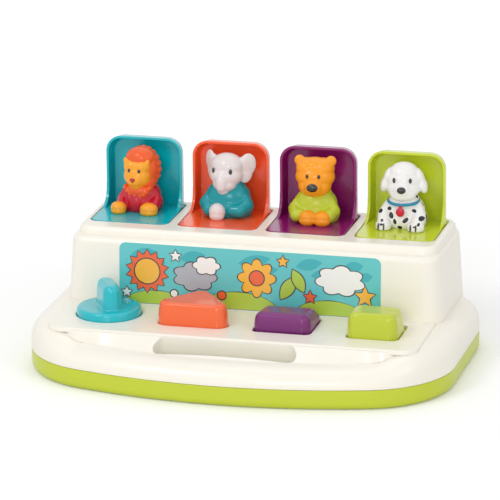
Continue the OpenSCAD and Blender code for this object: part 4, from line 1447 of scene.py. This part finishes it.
def build_button(colours):
    """The triangular push button with its skirt, stem and wedge."""
    x = LID_X[1]
    wedge = [
        (CONTROL_BACK - 1, SKIRT_Z + 0.1), (PUSH_Y - 12, SKIRT_Z + 0.1),
        (PUSH_Y - 12, FOOT_Z + 0.3), (PUSH_Y - 7, FOOT_Z + 0.3), (PUSH_Y, FOOT_Z + 7.3),
        (PUSH_Y, SKIRT_Z + 2.4), (CONTROL_BACK - 1, SKIRT_Z + 2.4),
    ]
    skirt = ((0, SKIRT_Z), (0, SKIRT_Z + SKIRT_T))
    button = united(stepped(button_outline, BUTTON_ROLL), [
        stepped(lambda inset: button_outline(inset - 2.5), skirt),
        post(x, CONTROL_Y, 9.5, SKIRT_Z + 1, BUTTON_STEM_R),
        side_block(wedge, x - 4, x + 4),
    ])
    shade = control_plastic("Button orange", colours.orange)
    make_piece("button_pressed", button, "push_button", ["push_button"], [shade])


def build_rocker(colours):
    """The rocker: a block that falls away to the back, hollow below, with its tab."""
    x, front = LID_X[2], CONTROL_FRONT + 2.0
    outline = control_outline(x, ROCKER_WIDTH, 7.0, front, CONTROL_BACK)
    rings = []
    for inset, z, share in ROCKER_ROLL:
        taper = ROCKER_TAPER * smooth_step((z - 44.0) / 9.0)
        ring = []
        for px, py in outline(inset):
            fall = ROCKER_FALL * share * (py - front) / (CONTROL_BACK - front)
            ring.append((px, py - taper * (py - front) / (CONTROL_BACK - front), z - fall))
        rings.append(ring)
    hollow = block(rounded(x - 19.25, x + 19.25, front + 2.5, CONTROL_BACK - 2.5, 2.5), 30.0, 46.0)
    tab = box(x - 3, x + 3, CONTROL_Y - 3.5, CONTROL_Y + 3.5, 12.5, 48.0)
    rocker = united(carved(loft(rings), [hollow]), [tab])
    rocker = carved(rocker, [rod(x - 30, x + 30, CONTROL_Y, ROCKER_PIN_Z, 1.66, 24)])
    shade = control_plastic("Rocker purple", colours.purple_control, 0.32, 0.3, tone=0.03)
    make_piece("rocker_block", rocker, "rocker", ["rocker"], [shade])


def build_slider(colours):
    """The sliding block with its skirt and tail."""
    x, front = LID_X[3], CONTROL_FRONT
    outline = control_outline(x, SLIDER_WIDTH, 7.5, front, front + SLIDER_LENGTH)
    rings = []
    for inset, z in SLIDER_ROLL:
        taper = SLIDER_TAPER * smooth_step((z - 42.0) / 14.0)
        rings.append(
            [(px, py - taper * (py - front) / SLIDER_LENGTH, z) for px, py in outline(inset)]
        )
    skirt = rounded(x - 21.8, x + 21.8, front - 9.5, CONTROL_BACK + 2, 3)
    slider = united(loft(rings), [
        block(skirt, SKIRT_Z, SKIRT_Z + SKIRT_T),
        box(x - 4, x + 4, CONTROL_BACK - 4, CONTROL_BACK, FOOT_Z, SKIRT_Z + 1),
        box(x - 4, x + 4, CONTROL_BACK - 2, PUSH_Y, FOOT_Z, PUSH_Z),
    ])
    shade = control_plastic("Slider lime", colours.lime_control)
    make_piece("slider_block", slider, "slider", ["slider"], [shade])


def finish_inner_parts():
    """Steel and plain plastic for the CAD parts inside the shells."""
    steel = plastic(
        "Drawn steel", (0.56, 0.57, 0.59, 1), 0.32, grain=0.05, tone=0.05, radius=0.0002,
        metallic=1.0,
    )
    inner = plastic("Inside plastic", linear((232, 120, 62)), 0.4, grain=0.05, tone=0.03, rub=0.1)
    slides = plastic("Slide plastic", linear((190, 198, 70)), 0.4, grain=0.05, tone=0.03, rub=0.1)
    for name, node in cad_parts.items():
        if node.hide_render:
            continue
        material = steel
        if name.startswith("catch_lever"):
            material = inner
        elif name.endswith("_slide"):
            material = slides
        node.data.materials.clear()
        node.data.materials.append(material)


# ---- Stage ----

# In metres.
LAMP_AIM = (0, 0, 0.06)
FLOOR_HALF = 6.0


def area_lamp(name, at, size, power):
    """A large soft white lamp turned to the toy."""
    lamp = bpy.data.lights.new(name, "AREA")
    lamp.shape = "SQUARE"
    lamp.size = size
    lamp.energy = power
    held = bpy.data.objects.new(name, lamp)
    held.location = at
    held.rotation_euler = (Vector(LAMP_AIM) - Vector(at)).to_track_quat("-Z", "Y").to_euler()
    bpy.context.scene.collection.objects.link(held)


def studio_paper(lights):
    """White paper that the camera sees a little brighter, and more so with the distance."""
    paper = bpy.data.materials.new("Studio paper")
    paper.use_nodes = True
    tree = paper.node_tree
    shader = fill(tree, tree.nodes["Principled BSDF"], {
        "Base Color": (0.93, 0.93, 0.93, 1), "Roughness": 0.9, "Specular IOR Level": 0.1,
    })
    lift = add_node(tree, "MapRange", {
        "Value": length_node(tree, object_coords(tree)), "From Min": 0.2, "From Max": 1.6,
        "To Min": lights.floor_lift, "To Max": lights.floor_lift + 0.5,
    })
    rays = tree.nodes.new("ShaderNodeLightPath").outputs
    seen = math_node(tree, "MULTIPLY", rays["Is Camera Ray"], lift.outputs["Result"])
    glow = add_node(tree, "Emission", {"Strength": seen})
    both = add_node(tree, "AddShader", {0: shader.outputs[0], 1: glow.outputs[0]})
    fill(tree, tree.nodes["Material Output"], {"Surface": both.outputs[0]})
    return paper


def studio_world(lights):
    """Even light from all round, seen as white by the camera and in reflections."""
    world = bpy.data.worlds.new("Studio")
    world.use_nodes = True
    tree = world.node_tree
    inputs = {"Color": WHITE, "Strength": lights.surround}
    light = fill(tree, tree.nodes["Background"], inputs)
    white = add_node(tree, "Background", {"Color": WHITE})
    rays = tree.nodes.new("ShaderNodeLightPath").outputs
    seen = math_node(tree, "MAXIMUM", rays["Is Camera Ray"], rays["Is Glossy Ray"])
    seen = math_node(tree, "MAXIMUM", seen, rays["Is Transmission Ray"])
    mix = add_node(tree, "MixShader", {0: seen, 1: light.outputs[0], 2: white.outputs[0]})
    fill(tree, tree.nodes["World Output"], {"Surface": mix.outputs[0]})
    return world


def build_stage(lights):
    """A pale floor, a white surround, four soft lamps and the camera."""
    scene = bpy.context.scene
    scene.view_settings.view_transform = "Standard"
    bm = bmesh.new()
    bmesh.ops.create_grid(bm, x_segments=1, y_segments=1, size=FLOOR_HALF)
    mesh = bpy.data.meshes.new("floor")
    bm.to_mesh(mesh)
    bm.free()
    floor = bpy.data.objects.new("floor", mesh)
    scene.collection.objects.link(floor)
    mesh.materials.append(studio_paper(lights))
    scene.world = studio_world(lights)
    area_lamp("Key lamp", (-0.9, -1.3, 1.7), 0.6, lights.key)
    area_lamp("Fill lamp", (1.5, -1.0, 1.0), 0.8, lights.fill)
    area_lamp("Top lamp", (0.0, 0.4, 1.9), 1.2, lights.top)
    area_lamp("Front lamp", (0.2, -2.4, 0.75), 0.7, lights.front)

    camera = bpy.data.cameras.new("Photograph camera")
    camera.lens = CAMERA_LENS
    camera.sensor_width = 36.0
    camera.clip_end = 50.0
    held = bpy.data.objects.new("Photograph camera", camera)
    held.location = CAMERA_AT
    aim = (Vector(CAMERA_AIM) - Vector(CAMERA_AT)).to_track_quat("-Z", "Y")
    tilt = Quaternion((0, 0, 1), -math.radians(CAMERA_TILT))
    held.rotation_euler = (aim @ tilt).to_euler()
    scene.collection.objects.link(held)
    scene.camera = held


# ---- Add-on ----


def colour_property(name, description, value):
    """A screen colour from 0 to 255."""
    return FloatVectorProperty(
        name=name, description=description, default=value, size=3, min=0, max=255
    )


class ToyColours(bpy.types.PropertyGroup):
    """Colours of the toy's plastics."""

    shell: colour_property("Shell", "Cream of the upper shell", (247, 242, 230))
    base: colour_property("Base", "Lime of the lower shell", (196, 208, 44))
    label: colour_property("Label", "Turquoise ground of the printed label", (98, 200, 202))
    teal: colour_property("Teal", "Knob and first lid", (0, 186, 198))
    orange: colour_property("Orange", "Push button", (244, 104, 50))
    orange_lid: colour_property("Orange lid", "Second lid", (255, 94, 46))
    purple: colour_property("Purple lid", "Third lid", (142, 20, 108))
    purple_control: colour_property("Purple rocker", "Rocker", (120, 36, 112))
    lime: colour_property("Lime lid", "Fourth lid", (204, 218, 46))
    lime_control: colour_property("Lime slider", "Slider", (190, 202, 44))
    mane: colour_property("Mane", "Lion's mane", (240, 95, 35))
    amber: colour_property("Amber", "Lion's face and paws", (248, 165, 35))
    crimson: colour_property("Crimson", "Lion's body", (200, 24, 48))
    grey: colour_property("Grey", "Elephant's head", (226, 217, 216))
    teal_figure: colour_property("Teal figure", "Elephant's body", (0, 150, 160))
    bear: colour_property("Bear", "Bear's head", (250, 158, 20))
    lime_figure: colour_property("Lime figure", "Bear's body", (192, 204, 50))
    dog: colour_property("Dog", "Dog", (240, 238, 236))


class ToyLights(bpy.types.PropertyGroup):
    """Strength of the studio's lights."""

    key: FloatProperty(
        name="Key lamp", description="Power of the main lamp", default=8.5, unit="POWER"
    )
    fill: FloatProperty(
        name="Fill lamp", description="Power of the lamp on the right", default=3.0, unit="POWER"
    )
    top: FloatProperty(
        name="Top lamp", description="Power of the lamp overhead", default=3.5, unit="POWER"
    )
    front: FloatProperty(
        name="Front lamp", description="Power of the lamp in front", default=8.0, unit="POWER"
    )
    surround: FloatProperty(
        name="Surround", description="Light from all round", default=0.68, min=0.0
    )
    floor_lift: FloatProperty(
        name="Floor lift", description="White added to the floor as the camera sees it",
        default=0.12, min=0.0,
    )


class ToyStep:
    """What the operators share: each runs its makers with the toy's colours."""

    def execute(self, context):
        for make in self.makers:
            make(context.scene.toy_colours)
        return {"FINISHED"}


class TOY_OT_stage(bpy.types.Operator):
    """Make the floor, the lamps and the camera"""

    bl_idname = "toy.stage"
    bl_label = "Stage"

    def execute(self, context):
        build_stage(context.scene.toy_lights)
        return {"FINISHED"}


class TOY_OT_shells(ToyStep, bpy.types.Operator):
    """Make the lower and the upper shell"""

    bl_idname = "toy.shells"
    bl_label = "Shells"
    makers = (build_base_shell, build_top_shell)


class TOY_OT_label(ToyStep, bpy.types.Operator):
    """Make the printed label"""

    bl_idname = "toy.label"
    bl_label = "Label"
    makers = (build_label,)


class TOY_OT_lids(ToyStep, bpy.types.Operator):
    """Make the four trays"""

    bl_idname = "toy.lids"
    bl_label = "Lids"
    makers = (build_lids,)


class TOY_OT_figures(ToyStep, bpy.types.Operator):
    """Make the four animals"""

    bl_idname = "toy.figures"
    bl_label = "Figures"
    makers = (build_lion, build_elephant, build_bear, build_dog)


class TOY_OT_controls(ToyStep, bpy.types.Operator):
    """Make the knob, the button, the rocker and the slider"""

    bl_idname = "toy.controls"
    bl_label = "Controls"
    makers = (build_knob, build_button, build_rocker, build_slider)


class TOY_OT_inner_parts(bpy.types.Operator):
    """Give the parts inside their steel and plastic"""

    bl_idname = "toy.inner_parts"
    bl_label = "Inner parts"

    def execute(self, context):
        finish_inner_parts()
        return {"FINISHED"}


STEPS = (
    TOY_OT_stage, TOY_OT_shells, TOY_OT_label, TOY_OT_lids, TOY_OT_figures, TOY_OT_controls,
    TOY_OT_inner_parts,
)


class TOY_PT_panel(bpy.types.Panel):
    """Lists the toy's pieces"""

    bl_idname = "TOY_PT_panel"
    bl_label = "Pop up toy"
    bl_space_type = "VIEW_3D"
    bl_region_type = "UI"
    bl_category = "Pop up toy"

    def draw(self, context):
        for step in STEPS:
            self.layout.operator(step.bl_idname)
        for group in (context.scene.toy_colours, context.scene.toy_lights):
            for name in group.bl_rna.properties.keys():
                if name not in ("rna_type", "name"):
                    self.layout.prop(group, name)


CLASSES = (ToyColours, ToyLights, *STEPS, TOY_PT_panel)


def register():
    """Registers the add-on's classes and properties."""
    for item in CLASSES:
        bpy.utils.register_class(item)
    bpy.types.Scene.toy_colours = PointerProperty(type=ToyColours)
    bpy.types.Scene.toy_lights = PointerProperty(type=ToyLights)


def unregister():
    """Removes them again."""
    del bpy.types.Scene.toy_lights
    del bpy.types.Scene.toy_colours
    for item in reversed(CLASSES):
        bpy.utils.unregister_class(item)


def main():
    """Makes every piece in order."""
    register()
    bpy.ops.toy.stage()
    bpy.ops.toy.shells()
    bpy.ops.toy.label()
    bpy.ops.toy.lids()
    bpy.ops.toy.figures()
    bpy.ops.toy.controls()
    bpy.ops.toy.inner_parts()


if __name__ == "__main__":
    main()
